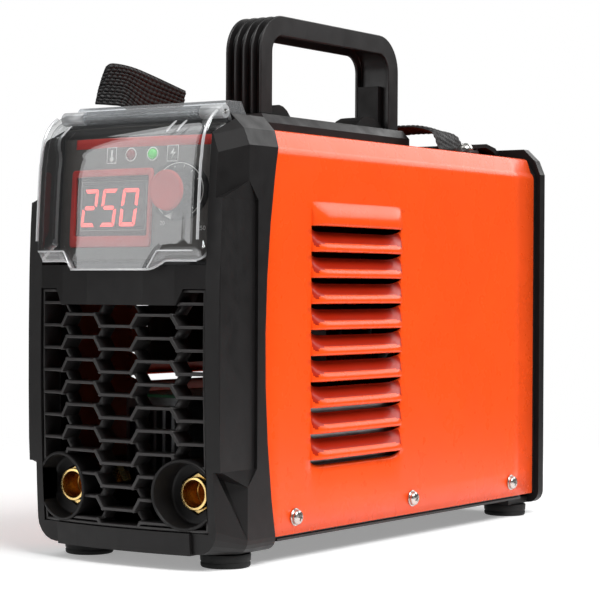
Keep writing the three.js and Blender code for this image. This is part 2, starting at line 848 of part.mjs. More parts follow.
// A channel inside the cover's lower edge, with a lip that closes the gap under the cover.
function basePan() {
  const half = SHELL_HALF - SHEET - GAP;
  const floor = PAN_Z0 + SHEET;
  const section = [
    [half, PAN_Z0],
    [half, PAN_TOP],
    [half - SHEET, PAN_TOP],
    [half - SHEET, floor],
    [SHEET - half, floor],
    [SHEET - half, PAN_TOP],
    [-half, PAN_TOP],
    [-half, PAN_Z0],
  ];
  const y1 = SHELL_Y1 - 12 - GAP;
  let part = prismY(section, SHELL_Y0 + 4, y1);
  for (const side of [-1, 1]) {
    const x = side * (SHELL_HALF - 1.5);
    part = part.add(box(x - 1.5, x + 1.5, SHELL_Y0 + 18, y1 - 2, PAN_Z0, floor));
  }
  for (const y of SCREW_YS) {
    part = part.subtract(turnedX(rod(2.3, 140), -70, y, SCREW_Z, 12));
  }
  return part;
}

function sideScrew(side, y) {
  const profile = [
    [0, 0],
    [1.9, 0],
    [1.9, 5],
    [4.4, 5],
    [4.4, 5.8],
    [3.7, 5.8],
    [2.9, 7.9],
    [0, 8.5],
  ];
  const part = turnedX(profile, SHELL_HALF - 5 + GAP, y, SCREW_Z, 12);
  return side > 0 ? part : mirroredX(part);
}

// ---- Rear bezel and what it carries --------------------------------------------------------
// A block centred on the power switch, half its width and height given.
function switchBlock(halfX, halfZ, y0, y1) {
  return box(SWITCH_X - halfX, SWITCH_X + halfX, y0, y1, SWITCH_Z - halfZ, SWITCH_Z + halfZ);
}

function rearBezel() {
  const rim = SHELL_Y1 + 5;
  const body = prismY(fullOutline(), rim, REAR_Y - 4);
  const rounded = loftY(fullOutline(), REAR_Y - 4.01, fullOutline(3.5), REAR_Y);
  const plug = prismY(coverOutline(SHEET + GAP, SHELL_Z0), SHELL_Y1 - 12, rim + 1);
  const plugHollow = prismY(coverOutline(SHEET + GAP + 2.5, SHELL_Z0 + 2), SHELL_Y1 - 13, REAR_Y - 4);
  const sole = box(-52, 52, SHELL_Y1 - 18, rim + 1, BEZEL_Z0, 11 - GAP);
  const top = prismX(
    [
      [110, 218.3],
      [REAR_Y - 26, 221.6],
      [REAR_Y - 15, 219.6],
      [rim + 2, 214],
      [rim + 2, 211],
      [REAR_Y - 18, 217.4],
      [REAR_Y - 27, 219.4],
      [110, 216.3],
    ],
    -32,
    32,
  );
  let part = union(body, rounded, sole, top, plug).subtract(plugHollow);
  for (const y of [132, 152]) {
    part = part.add(box(-31, 31, y, y + 2, SHELL_TOP + GAP, 219.6));
  }
  const fanHole = turnedY(rod(41, 30), 0, REAR_Y - 15, FAN_Z, 24);
  const switchHole = switchBlock(10.5, 14.5, REAR_Y - 20, REAR_Y + 5);
  const glandHole = turnedY(rod(8.3, 30), GLAND_X, REAR_Y - 15, GLAND_Z, 20);
  return part.subtract(fanHole).subtract(switchHole).subtract(glandHole);
}

function fanFrame() {
  const half = FAN_SIZE / 2;
  const y0 = FAN_Y1 - FAN_DEPTH;
  const shell = prismY(roundedRect(-half, half, FAN_Z - half, FAN_Z + half, 4, 2), y0, FAN_Y1);
  const tunnel = turnedY(rod(43, FAN_DEPTH + 2), 0, y0 - 1, FAN_Z, 24);
  let part = shell.subtract(tunnel);
  const hub = turnedY(rod(19, 3), 0, y0, FAN_Z, 16);
  const spokes = [0, 1, 2, 3].map((i) => {
    const arm = new THREE.BoxGeometry(30, 3, 4).translate(31, y0 + 1.5, 0);
    arm.rotateY((i * Math.PI) / 2 + Math.PI / 4).translate(0, 0, FAN_Z);
    return solid(arm);
  });
  part = union(part, hub, ...spokes);
  return part.subtract(turnedY(rod(2.2, 10), 0, y0 - 1, FAN_Z, 16));
}

const FAN_BLADES = 7;

function fanRotor() {
  const y0 = FAN_Y1 - FAN_DEPTH + 4;
  const y1 = FAN_Y1 - 1.5;
  const hubProfile = [
    [0, -5],
    [1.7, -5],
    [1.7, 0],
    [19.5, 0],
    [19.5, y1 - y0 - 1.5],
    [18, y1 - y0],
    [0, y1 - y0],
  ];
  let part = turnedY(hubProfile, 0, y0, FAN_Z, 20);
  for (let i = 0; i < FAN_BLADES; i += 1) {
    const blade = new THREE.BoxGeometry(23, 1.6, 22, 1, 1, 1).rotateX(0.6);
    blade.translate(29.5, (y0 + y1) / 2, 0).rotateY((i * 2 * Math.PI) / FAN_BLADES);
    part = part.add(solid(blade.translate(0, 0, FAN_Z)));
  }
  return part.intersect(turnedY(rod(41.5, y1 - y0 + 8), 0, y0 - 6, FAN_Z, 24));
}

function fanGuard() {
  const y = REAR_Y + 0.3;
  let part = turnedY(ring(43.5, 45.5, 2), 0, y, FAN_Z, 20);
  for (const r of [12, 27]) {
    part = part.add(turnedY(ring(r, r + 2.2, 2), 0, y, FAN_Z, 20));
  }
  for (let i = 0; i < 2; i += 1) {
    const bar = new THREE.BoxGeometry(112, 1.8, 2.2).rotateY(Math.PI / 4 + (i * Math.PI) / 2);
    part = part.add(solid(bar.translate(0, y + 0.9, FAN_Z)));
  }
  return part;
}

function rockerFrame() {
  const outer = switchBlock(12.5, 16.5, REAR_Y + GAP, REAR_Y + 2.3);
  const body = box(SWITCH_X - 10, SWITCH_X + 10, REAR_Y - 18, REAR_Y + 1, SWITCH_Z - 14, SWITCH_Z + 14);
  const pocket = switchBlock(8.3, 12.3, REAR_Y - 8, REAR_Y + 5);
  return outer.add(body).subtract(pocket);
}

const ROCKER_PIVOT = [REAR_Y - 3.2, SWITCH_Z];
const ROCKER_TILT = (8 * Math.PI) / 180;

// The rocker is drawn switched on: tilted about its pivot, with its upper half pressed in.
function rockerButton() {
  const [pivotY, pivotZ] = ROCKER_PIVOT;
  const outline = [
    [-3.3, -3],
    [3.8, -11.4],
    [5.8, -11.2],
    [4.4, 0],
    [5.8, 11.2],
    [3.8, 11.4],
    [-3.3, 3],
  ].map(([y, z]) => [
    pivotY + y * Math.cos(ROCKER_TILT) - z * Math.sin(ROCKER_TILT),
    pivotZ + y * Math.sin(ROCKER_TILT) + z * Math.cos(ROCKER_TILT),
  ]);
  return prismX(outline, SWITCH_X - 7.8, SWITCH_X + 7.8);
}

function cableGland() {
  const profile = [
    [3.8, GLAND_REACH],
    [6.2, GLAND_REACH],
    [8.2, GLAND_REACH - 3],
    [9.6, 6],
    [10.8, 6],
    [10.8, 0.3],
    [7.9, 0.3],
    [7.9, -14],
    [3.8, -14],
    [3.8, GLAND_REACH],
  ];
  return turnedY(profile, GLAND_X, REAR_Y, GLAND_Z, 24);
}

function glandNut() {
  const hex = prismY(arc(GLAND_X, GLAND_Z, 12, 0, (5 * Math.PI) / 3, 5), REAR_Y - 11, REAR_Y - 6);
  return hex.subtract(turnedY(rod(8.2, 20), GLAND_X, REAR_Y - 18, GLAND_Z, 24));
}

function foot(x, y) {
  const profile = [
    [0, 0],
    [FOOT_RADIUS - 1.4, 0],
    [FOOT_RADIUS - 0.4, 1.2],
    [FOOT_RADIUS, BEZEL_Z0 - GAP],
    [0, BEZEL_Z0 - GAP],
  ];
  return turnedZ(profile, x, y, 0, 20);
}

// ---- Handle --------------------------------------------------------------------------------
function handleSide(inset) {
  const r = HANDLE_CORNER - inset;
  const y0 = HANDLE_Y0 + inset;
  const y1 = HANDLE_Y1 - inset;
  const top = HANDLE_TOP - inset;
  const quarter = Math.PI / 2;
  return [
    [y0, SHELL_TOP + 2],
    ...arc(y0 + r, top - r, r, 2 * quarter, quarter, 4),
    ...arc(y1 - r, top - r, r, quarter, 0, 4),
    [y1, SHELL_TOP + 2],
  ];
}

const RIB_COUNT = 5;
const RIB_WIDTH = 1.5;
const GROOVE_DEPTH = 4;
const PLATE = 1.9; // thickness of the grip's side plates

function handleGrip() {
  const foot0 = BASE_TOP + GAP;
  const hollow = prismX(handleSide(HANDLE_BAR), -30, 30);
  const outer = prismX(handleSide(0), -HANDLE_HALF, HANDLE_HALF).subtract(hollow);
  const grooveOuter = prismX(handleSide(-3), -30, 30).subtract(prismX(handleSide(GROOVE_DEPTH), -31, 31));
  const pitch = (2 * HANDLE_HALF - RIB_WIDTH) / (RIB_COUNT - 1);
  let part = outer;
  for (let i = 0; i < RIB_COUNT - 1; i += 1) {
    const x0 = -HANDLE_HALF + RIB_WIDTH + i * pitch;
    part = part.subtract(grooveOuter.intersect(box(x0, x0 + pitch - RIB_WIDTH, -100, 100, 232, 300)));
  }
  const channel = prismX(handleSide(GROOVE_DEPTH + 2.5), -HANDLE_HALF + PLATE, HANDLE_HALF - PLATE);
  return part.subtract(channel).subtract(box(-50, 50, -100, 100, 200, foot0));
}

// A rounded lug on the base plate beside a leg, seen from the side as a low hump.
function lug(y0, y1) {
  const steps = 6;
  const points = [];
  for (let i = 0; i <= steps; i += 1) {
    const t = i / steps;
    const swell = Math.sin(Math.PI * Math.min(1, t * 0.95 + 0.02)) ** 0.7;
    points.push([y0 + (y1 - y0) * t, BASE_TOP - 1 + 7.5 * swell]);
  }
  points.push([y1, BASE_TOP - 1.5]);
  points.push([y0, BASE_TOP - 1.5]);
  return prismX(points, -8, 8);
}

function handleBase() {
  const y0 = HANDLE_Y0 - 4;
  const y1 = HANDLE_Y1 + 2;
  const section = [
    [-18, SHELL_TOP + GAP],
    [18, SHELL_TOP + GAP],
    [18, 220.8],
    [14, BASE_TOP],
    [-14, BASE_TOP],
    [-18, 220.8],
  ];
  const ends = prismX(
    [
      [y0, SHELL_TOP - 1],
      [y1, SHELL_TOP - 1],
      [y1, 220.8],
      [y1 - 5, BASE_TOP + 20],
      [y0 + 5, BASE_TOP + 20],
      [y0, 220.8],
    ],
    -30,
    30,
  );
  const plate = prismY(section, y0, y1).intersect(ends);
  const postHalf = HANDLE_HALF - PLATE - GAP;
  const wall = GROOVE_DEPTH + 2.5 + GAP;
  const front = box(-postHalf, postHalf - 5, HANDLE_Y0 + wall, HANDLE_Y0 + HANDLE_BAR, BASE_TOP - 1, 251);
  const rear = box(-postHalf, postHalf - 5, HANDLE_Y1 - HANDLE_BAR, HANDLE_Y1 - wall, BASE_TOP - 1, 251);
  const holes = [HANDLE_Y0 + 12, HANDLE_Y1 - 12].map((y) => turnedZ(rod(2.3, 12), 0, y, SHELL_TOP - 6, 12));
  return union(
    plate,
    front,
    rear,
    lug(HANDLE_Y0 + HANDLE_BAR + GAP, HANDLE_Y0 + HANDLE_BAR + 22),
    lug(HANDLE_Y1 - HANDLE_BAR - 30, HANDLE_Y1 - HANDLE_BAR - GAP),
  )
    .subtract(holes[0])
    .subtract(holes[1]);
}

function handleBolt(y) {
  const profile = [
    [0, 0],
    [4, 0],
    [4, 3],
    [1.9, 3],
    [1.9, 3 + 5],
    [0, 3 + 5],
  ];
  return turnedZ(profile, 0, y, SHELL_TOP - SHEET - 3 - GAP, 16);
}

// ---- Shoulder strap ------------------------------------------------------------------------
// The webbing stands on edge behind the lid, lies along the left of the handle, folds across
// behind it and ends under a screw at the right.
function carryStrap() {
  const z0 = SHELL_TOP + GAP;
  const zTop = z0 + STRAP_THICKNESS;
  const x1 = -19.5;
  const x0 = x1 - STRAP_WIDTH;
  const y1 = 80 + STRAP_WIDTH - 1.5;
  const bezelEnd = -108.5;
  const lying = box(x0, x1, bezelEnd, y1, z0, zTop);
  const standing = prismX(
    [
      [bezelEnd, z0],
      [bezelEnd, BEZEL_Z1 + 1],
      [-120, BEZEL_Z1 + 1],
      [-121.5, 226],
      [-133.5, 227],
      [-133.5, 247],
      [-117.4, 247.5],
      [-73, 239.2],
      [-72, 234],
      [-80, z0],
    ],
    -30,
    -30 + STRAP_THICKNESS,
  );
  const crossing = prismY(
    [
      [x0, z0],
      [x0 + 2, z0 + 5],
      [x0 + 16, 224],
      [0, 229],
      [20, 228.6],
      [32, 225.5],
      [35, 221],
      [36.5, zTop],
      [46.5, zTop],
      [46.5, z0],
      [34.5, z0],
      [32, 220],
      [29, 223],
      [19, 226.2],
      [0, 226.6],
      [x0 + 18, 221.5],
      [x0 + 6, zTop],
      [x0 + 6, z0],
    ],
    80,
    y1,
  );
  return union(lying, standing, crossing);
}

function strapScrew(x, y) {
  const z0 = SHELL_TOP + GAP + STRAP_THICKNESS + GAP;
  const profile = [
    [0, 0],
    [4.6, 0],
    [4.6, 0.9],
    [3.9, 2.4],
    [2.4, 3.6],
    [0, 4.1],
  ];
  return turnedZ(profile, x, y, z0, 16);
}

// ---- Power stage ---------------------------------------------------------------------------
// Two finned heatsinks hang under the main board, which carries the wound parts and capacitors.
function heatsink(side) {
  const [x0, x1] = HEATSINK_X;
  const top = BOARD_Z - GAP;
  const pitch = (x1 - x0 - FIN_THICKNESS) / (FIN_COUNT - 1);
  const outline = [[x0, top]];
  for (let i = 0; i < FIN_COUNT; i += 1) {
    const x = x0 + i * pitch;
    outline.push([x, HEATSINK_Z0]);
    outline.push([x + FIN_THICKNESS, HEATSINK_Z0]);
    if (i < FIN_COUNT - 1) {
      outline.push([x + FIN_THICKNESS, top - 6]);
      outline.push([x + pitch, top - 6]);
    }
  }
  outline.push([x1, top]);
  const part = prismY(outline, BOARD_Y0 + 8, BOARD_Y1 - 12);
  return side > 0 ? part : mirroredX(part);
}

function mainBoard() {
  return box(-50, 50, BOARD_Y0, BOARD_Y1, BOARD_Z, BOARD_TOP);
}

// A ferrite frame with a centre leg along Y, and the coil wound round that leg.
function transformerCore() {
  const part = box(-22, 22, CORE_Y0, CORE_Y1, BOARD_TOP + GAP, CORE_Z1);
  const windowHeight = [CORE_Z0 + 8, CORE_Z1 - 8];
  const left = box(-13, -5, CORE_Y0 - 1, CORE_Y1 + 1, ...windowHeight);
  return part.subtract(left).subtract(mirroredX(left));
}

function transformerWinding() {
  const outline = roundedRect(-12.4, 12.4, CORE_Y0 - 6, CORE_Y1 + 6, 6);
  const coil = prismZ(outline, CORE_Z0 + 8 + GAP, CORE_Z1 - 8 - GAP);
  return coil.subtract(box(-5 - GAP, 5 + GAP, CORE_Y0 - GAP, CORE_Y1 + GAP, CORE_Z0, CORE_Z1));
}

function outputChoke() {
  return turnedZ(ring(9, 22, 18), 0, CHOKE_Y, BOARD_TOP + GAP, 20);
}

function capacitor(index) {
  const x = index % 2 === 0 ? -CAPACITOR_X : CAPACITOR_X;
  const y = CAPACITOR_Y0 + Math.floor(index / 2) * CAPACITOR_PITCH;
  const r = CAPACITOR_RADIUS;
  const profile = [
    [0, 0],
    [r, 0],
    [r, CAPACITOR_HEIGHT - 1],
    [r - 1, CAPACITOR_HEIGHT],
    [0, CAPACITOR_HEIGHT],
  ];
  return turnedZ(profile, x, y, BOARD_TOP + GAP, 16);
}

function bridgeRectifier() {
  return box(-14, 14, 64, 92, BOARD_TOP + GAP, BOARD_TOP + 8);
}

// ---- Assembly ------------------------------------------------------------------------------
machine.name = "stick_welding_inverter";
add("front_bezel", frontBezel(), BLACK_PLASTIC());
add("front_grille", frontGrille(), BLACK_PLASTIC());
add("socket_shroud_right", socketCup(SOCKET_X), BLACK_PLASTIC());
add("socket_shroud_left", socketCup(-SOCKET_X), BLACK_PLASTIC());
add("dinse_socket_right", dinseSocket(SOCKET_X), BRASS());
add("dinse_socket_left", dinseSocket(-SOCKET_X), BRASS());
add("socket_nut_right", socketNut(SOCKET_X), BRASS());
add("socket_nut_left", socketNut(-SOCKET_X), BRASS());
add("control_plate", controlPlate(), BLACK_PLASTIC());
add("panel_label", panelLabel(), material(0x55534d, 0.5));
add("display_frame", displayFrame(), material(0xc8342c, 0.3));
add("display_module", digitBlock(), material(0x2a0d0c, 0.4));
add("current_knob", currentKnob(), material(0xb02a22, 0.45));
add("knob_shaft", knobShaft(), STEEL());
add("potentiometer", potentiometer(), STEEL());
add("power_led", ledLamp(11), material(0x2fbf3a, 0.2));
add("fault_led", ledLamp(-2.3), material(0x8c2420, 0.2));
add("control_board", controlBoard(), material(0x1f4a2c, 0.5));
add("clear_cover", clearCover(), material(0xdfe3e4, 0.05, 0, 0.35));
add("cover_hinge_pin", hingePin(), STEEL());
add("cover_hinge_block", hingeBlock(), BLACK_PLASTIC());
add("shell_cover", shellCover(), ORANGE_PAINT());
add("base_pan", basePan(), BLACK_STEEL());
["front", "middle", "rear"].forEach((place, i) => {
  add(`side_screw_right_${place}`, sideScrew(1, SCREW_YS[i]), STEEL());
  add(`side_screw_left_${place}`, sideScrew(-1, SCREW_YS[i]), STEEL());
});
add("rear_bezel", rearBezel(), BLACK_PLASTIC());
FOOT_YS.forEach((y, i) => {
  const place = i === 0 ? "front" : "rear";
  add(`foot_${place}_left`, foot(-FOOT_X, y), RUBBER());
  add(`foot_${place}_right`, foot(FOOT_X, y), RUBBER());
});
add("handle_base", handleBase(), BLACK_PLASTIC());
add("handle_grip", handleGrip(), BLACK_PLASTIC());
add("handle_bolt_front", handleBolt(HANDLE_Y0 + 12), STEEL());
add("handle_bolt_rear", handleBolt(HANDLE_Y1 - 12), STEEL());
add("carry_strap", carryStrap(), material(0x141414, 0.9));
add("strap_screw_front", strapScrew(...STRAP_SCREW_FRONT), STEEL());
add("strap_screw_rear", strapScrew(...STRAP_SCREW_REAR), STEEL());
add("fan_frame", fanFrame(), BLACK_PLASTIC());
add("fan_rotor", fanRotor(), BLACK_PLASTIC());
add("fan_guard", fanGuard(), BLACK_STEEL());
add("rocker_switch_body", rockerFrame(), BLACK_PLASTIC());
add("rocker_button", rockerButton(), material(0xa02018, 0.35));
add("cable_gland", cableGland(), BLACK_PLASTIC());
add("gland_nut", glandNut(), BLACK_PLASTIC());
add("main_board", mainBoard(), material(0x1f4a2c, 0.5));
add("heatsink_right", heatsink(1), ALUMINIUM());
add("heatsink_left", heatsink(-1), ALUMINIUM());
add("transformer_core", transformerCore(), material(0x2b2a2a, 0.7));
add("transformer_winding", transformerWinding(), COPPER());
add("output_choke", outputChoke(), COPPER());
for (let i = 0; i < 4; i += 1) {
  add(`bulk_capacitor_${i + 1}`, capacitor(i), material(0x1c2230, 0.4));
}
add("bridge_rectifier", bridgeRectifier(), material(0x1b1b1b, 0.5));

export default machine;
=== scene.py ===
import math

import bmesh
import bpy
from mathutils import Matrix, Vector, noise


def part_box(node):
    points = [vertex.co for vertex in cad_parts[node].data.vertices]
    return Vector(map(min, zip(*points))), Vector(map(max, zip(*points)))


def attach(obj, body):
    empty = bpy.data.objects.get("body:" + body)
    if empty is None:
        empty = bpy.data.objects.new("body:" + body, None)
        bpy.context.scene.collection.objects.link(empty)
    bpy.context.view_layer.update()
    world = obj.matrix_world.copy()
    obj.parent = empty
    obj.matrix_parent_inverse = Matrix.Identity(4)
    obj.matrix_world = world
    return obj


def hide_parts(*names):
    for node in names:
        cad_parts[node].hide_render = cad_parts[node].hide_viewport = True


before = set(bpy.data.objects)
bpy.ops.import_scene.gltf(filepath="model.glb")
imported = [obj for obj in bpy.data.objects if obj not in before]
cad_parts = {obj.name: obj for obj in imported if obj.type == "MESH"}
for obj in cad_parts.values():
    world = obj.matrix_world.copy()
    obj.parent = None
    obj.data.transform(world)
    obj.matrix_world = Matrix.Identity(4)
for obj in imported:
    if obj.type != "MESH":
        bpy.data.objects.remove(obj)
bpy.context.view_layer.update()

# ---- Frame of the drawing ------------------------------------------------------------------
REAR_Y = 169.0
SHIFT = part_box("rear_bezel")[1].y * 1000 - REAR_Y  # the drawing's Y to the row frame's Y
FRONT_Y = -160.4
MID_Z = 106.0
OPENING = 51.3  # half width of the opening between the front bezel's wings
RECESS = 12.0  # panel depth behind the bowed front


def place(x, y, z):
    return Vector((x / 1000, (y + SHIFT) / 1000, z / 1000))


def front_y(x, z):
    """The machine's bowed front."""
    return FRONT_Y + (x * x - OPENING * OPENING) / 476 + (z - MID_Z) ** 2 / 2220


# ---- Materials -----------------------------------------------------------------------------
class Shader:
    """A small helper round one material's node tree."""

    def __init__(self, name, **sockets):
        self.material = bpy.data.materials.new(name)
        self.material.use_nodes = True
        self.nodes = self.material.node_tree.nodes
        self.links = self.material.node_tree.links
        self.bsdf = self.nodes["Principled BSDF"]
        self.coords = self.nodes.new("ShaderNodeTexCoord")
        for key, value in sockets.items():
            self.bsdf.inputs[key.replace("_", " ")].default_value = value

    def node(self, kind, **values):
        made = self.nodes.new("ShaderNode" + kind)
        for key, value in values.items():
            if hasattr(made, key):
                setattr(made, key, value)
            else:
                made.inputs[key.replace("_", " ")].default_value = value
        return made

    def link(self, source, target):
        self.links.new(source, target)

    def noise(self, scale, detail=3.0, roughness=0.55, where="Object", stretch=(1, 1, 1)):
        mapping = self.node("Mapping")
        mapping.inputs["Scale"].default_value = stretch
        self.link(self.coords.outputs[where], mapping.inputs["Vector"])
        made = self.node("TexNoise", Scale=scale, Detail=detail, Roughness=roughness)
        self.link(mapping.outputs["Vector"], made.inputs["Vector"])
        return made.outputs["Fac"]

    def ramp(self, value, stops):
        made = self.node("ValToRGB")
        elements = made.color_ramp.elements
        while len(elements) < len(stops):
            elements.new(0.5)
        for element, (position, colour) in zip(elements, stops):
            element.position = position
            element.color = (*colour, 1)
        self.link(value, made.inputs["Fac"])
        return made.outputs["Color"]

    def spread(self, value, low, high):
        made = self.node("MapRange")
        made.inputs["From Min"].default_value = 0.3
        made.inputs["From Max"].default_value = 0.7
        made.inputs["To Min"].default_value = low
        made.inputs["To Max"].default_value = high
        self.link(value, made.inputs["Value"])
        return made.outputs["Result"]

    def bump(self, value, strength, distance, base=None):
        made = self.node("Bump", Strength=strength, Distance=distance)
        self.link(value, made.inputs["Height"])
        if base is not None:
            self.link(base, made.inputs["Normal"])
        return made.outputs["Normal"]

    def finish(self, colour=None, roughness=None, normal=None):
        if colour is not None:
            self.link(colour, self.bsdf.inputs["Base Color"])
        if roughness is not None:
            self.link(roughness, self.bsdf.inputs["Roughness"])
        if normal is not None:
            self.link(normal, self.bsdf.inputs["Normal"])
        return self.material


def mixed(colour, factor):
    return tuple(min(1.0, c * factor) for c in colour)


def moulded(name, colour, rough=(0.38, 0.52), grain=2600, depth=0.00006, vary=0.12, shine=0.3):
    """Moulded plastic: spark-eroded grain, faint blotches and uneven gloss."""
    s = Shader(name, Specular_IOR_Level=shine)
    blotch = s.noise(38, 4, 0.6)
    tint = s.ramp(blotch, [(0.25, mixed(colour, 1 - vary)), (0.75, mixed(colour, 1 + vary))])
    gloss = s.spread(s.noise(120, 3), *rough)
    fine = s.bump(s.noise(grain, 2, 0.5), 0.35, depth)
    return s.finish(tint, gloss, s.bump(s.noise(26, 2), 0.12, 0.0006, fine))


def painted(name, colour, rough=(0.24, 0.32), coat=0.08):
    """Powder coat: orange peel under a clear gloss, with a little dust and shade variation."""
    s = Shader(name, Coat_Weight=coat, Coat_Roughness=0.06, Specular_IOR_Level=0.2)
    tint = s.ramp(s.noise(22, 4), [(0.3, mixed(colour, 0.95)), (0.7, mixed(colour, 1.04))])
    gloss = s.spread(s.noise(60, 3), *rough)
    return s.finish(tint, gloss, s.bump(s.noise(420, 2, 0.5), 0.05, 0.0002))


def metal(name, colour, rough=(0.2, 0.36), stretch=(1, 1, 1), scale=900):
    """Bare or plated metal with directional tool marks and stain variation."""
    s = Shader(name, Metallic=1.0)
    tint = s.ramp(s.noise(70, 4), [(0.3, mixed(colour, 0.82)), (0.7, mixed(colour, 1.1))])
    marks = s.noise(scale, 3, 0.6, stretch=stretch)
    return s.finish(tint, s.spread(marks, *rough), s.bump(marks, 0.18, 0.00004))


BLACK = moulded("black_moulding", (0.009, 0.0082, 0.0083), shine=0.24)
BLACK_GLOSS = moulded("black_gloss_moulding", (0.012, 0.012, 0.013), (0.2, 0.3), depth=0.00003)
HANDLE_BLACK = moulded("handle_moulding", (0.012, 0.0112, 0.0113), (0.3, 0.44), shine=0.45)
GRILLE_BLACK = moulded("grille_moulding", (0.024, 0.022, 0.022), (0.32, 0.44), shine=0.4)
ORANGE = painted("orange_coat", (0.95, 0.088, 0.009))
# a darker coat on the sloping faces between the louvres, which stands in for their shade
ORANGE_PAINTED_SHADE = painted("painted_recess_shade", (0.42, 0.016, 0.002), (0.3, 0.38), 0.0)
# painted shade: a dark orange for the cover's inner side, in place of the shade inside the case
ORANGE_INSIDE_SHADE = painted("painted_inside_shade", (0.2, 0.028, 0.006), (0.45, 0.6), 0.0)
BLACK_COAT = painted("black_coat", (0.012, 0.012, 0.012), (0.28, 0.4), 0.2)
ZINC = metal("zinc_plate", (0.62, 0.61, 0.58), (0.18, 0.34))
BRASS = metal("turned_brass", (0.95, 0.66, 0.27), (0.2, 0.32), (1, 0.2, 1), 1400)
# painted shade: a darker brass for the inside of the socket's bore, in place of the shade there, with bored tool
# marks
BRASS_BORE_SHADE = metal("brass_bore_with_painted_shade", (0.5, 0.27, 0.07), (0.22, 0.36), (1, 6, 1), 500)
ALUMINIUM = metal("extruded_aluminium", (0.52, 0.53, 0.54), (0.3, 0.46), (1, 0.05, 1))
RUBBER = moulded("rubber", (0.009, 0.009, 0.009), (0.6, 0.78), 1500, 0.00012)
RED = moulded("red_moulding", (0.55, 0.035, 0.03), (0.3, 0.4))
FERRITE = moulded("ferrite", (0.05, 0.048, 0.047), (0.6, 0.75), 1800, 0.0001)
BOARD = moulded("circuit_board", (0.02, 0.11, 0.045), (0.3, 0.42), 900, 0.00008)
SLEEVE = moulded("capacitor_sleeve", (0.02, 0.028, 0.06), (0.25, 0.35))
# painted shade: a dark sheet material for the inside of the left wall, where there is only shade
SHADE_SHEET_BLACK = moulded("painted_shade_sheet", (0.03, 0.022, 0.018), (0.6, 0.75), 900, 0.00008)
EPOXY = moulded("epoxy_case", (0.018, 0.018, 0.02), (0.45, 0.6))


def clear_plastic(name, tint, haze, rough=0.015, metallic=1.0):
    """Clear moulded plastic: see-through, with Fresnel gloss and faint flow marks."""
    s = Shader(name, Roughness=rough, IOR=1.55, Base_Color=(0.95, 0.96, 0.97, 1), Metallic=metallic)
    through = s.node("BsdfTransparent")
    tinted = s.ramp(s.noise(30, 2), [(0.3, mixed(tint, 0.985)), (0.7, mixed(tint, 1.0))])
    s.link(tinted, through.inputs["Color"])
    facing = s.node("LayerWeight", Blend=0.5)
    steep = s.node("Math", operation="POWER")
    steep.inputs[1].default_value = 4.0
    s.link(facing.outputs["Facing"], steep.inputs[0])
    lift = s.node("Math", operation="MULTIPLY_ADD", use_clamp=True)
    lift.inputs[1].default_value = 0.9
    lift.inputs[2].default_value = haze
    s.link(steep.outputs[0], lift.inputs[0])
    wavy = s.bump(s.noise(14, 2), 0.06, 0.0015)
    s.link(wavy, s.bsdf.inputs["Normal"])
    mix = s.node("MixShader")
    s.link(lift.outputs[0], mix.inputs[0])
    s.link(through.outputs[0], mix.inputs[1])
    s.link(s.bsdf.outputs[0], mix.inputs[2])
    s.link(mix.outputs[0], s.nodes["Material Output"].inputs["Surface"])
    return s.material


def printed(name, colour, vary=0.08, rough=(0.35, 0.48)):
    """Screen-printed ink on a fine matt film."""
    s = Shader(name)
    tint = s.ramp(s.noise(160, 3), [(0.3, mixed(colour, 1 - vary)), (0.7, mixed(colour, 1 + vary))])
    return s.finish(tint, s.spread(s.noise(300, 2), *rough), s.bump(s.noise(3000, 2), 0.2, 0.00003))


def glowing(name, colour, strength):
    """A lit lens or segment: the light falls off a little over its face."""
    s = Shader(name, Roughness=0.25)
    tint = s.ramp(s.noise(260, 2), [(0.3, mixed(colour, 0.82)), (0.7, colour)])
    s.link(tint, s.bsdf.inputs["Emission Color"])
    s.bsdf.inputs["Emission Strength"].default_value = strength
    return s.finish(tint)


CLEAR = clear_plastic("clear_polycarbonate", (0.97, 0.975, 0.975), 0.11)
# also the material of the beads of painted highlight along the lid's outline
CLEAR_EDGE = clear_plastic("clear_edge_and_highlight_bead", (0.9, 0.91, 0.92), 0.55, 0.12, 0.35)
CLEAR_BLOCK = clear_plastic("clear_hinge_block", (0.8, 0.82, 0.84), 0.22, 0.08, 0.5)
LABEL = printed("label_film", (0.075, 0.068, 0.062))
BLACK_PRINT = printed("black_print", (0.006, 0.006, 0.006))
RED_PRINT = printed("red_print", (0.72, 0.035, 0.025))
WHITE_PRINT = printed("white_print", (0.85, 0.85, 0.83), 0.03)
GREY_PRINT = printed("grey_print", (0.16, 0.155, 0.15))
SMOKED = moulded("smoked_window", (0.035, 0.028, 0.028), (0.12, 0.18), depth=0.00001)
GLOW_RED = glowing("lit_segment", (1.0, 0.10, 0.09), 1.3)
GREEN_LAMP = glowing("lit_green_lens", (0.008, 0.5, 0.035), 0.45)
WEBBING = moulded("webbing", (0.011, 0.01, 0.01), (0.5, 0.7), 5200, 0.00012, 0.35, 0.5)
COPPER = metal("enamelled_copper", (0.55, 0.22, 0.08), (0.26, 0.4), (1, 1, 1), 600)
RED_LAMP = moulded("red_lens", (0.22, 0.02, 0.02), (0.1, 0.16), depth=0.00001, vary=0.2)


# ---- Mesh helpers --------------------------------------------------------------------------
def piece(name, verts, faces, material, body="chassis", slot=None, sharp=35.0, fix=True):
    """A mesh piece from drawing-frame points, riding on a body."""
    mesh = bpy.data.meshes.new(name)
    mesh.from_pydata([place(*v) for v in verts], [], faces)
    mesh.validate()
    made = bpy.data.objects.new(name, mesh)
    bpy.context.scene.collection.objects.link(made)
    bm = bmesh.new()
    bm.from_mesh(mesh)
    bmesh.ops.remove_doubles(bm, verts=bm.verts, dist=1e-6)
    if fix:
        bmesh.ops.recalc_face_normals(bm, faces=bm.faces)
    for face in bm.faces:
        face.smooth = True
    for edge in bm.edges:
        if len(edge.link_faces) == 2:
            edge.smooth = edge.calc_face_angle(0) < math.radians(sharp)
    bm.to_mesh(mesh)
    bm.free()
    mesh.materials.append(material)
    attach(made, body)
    return made


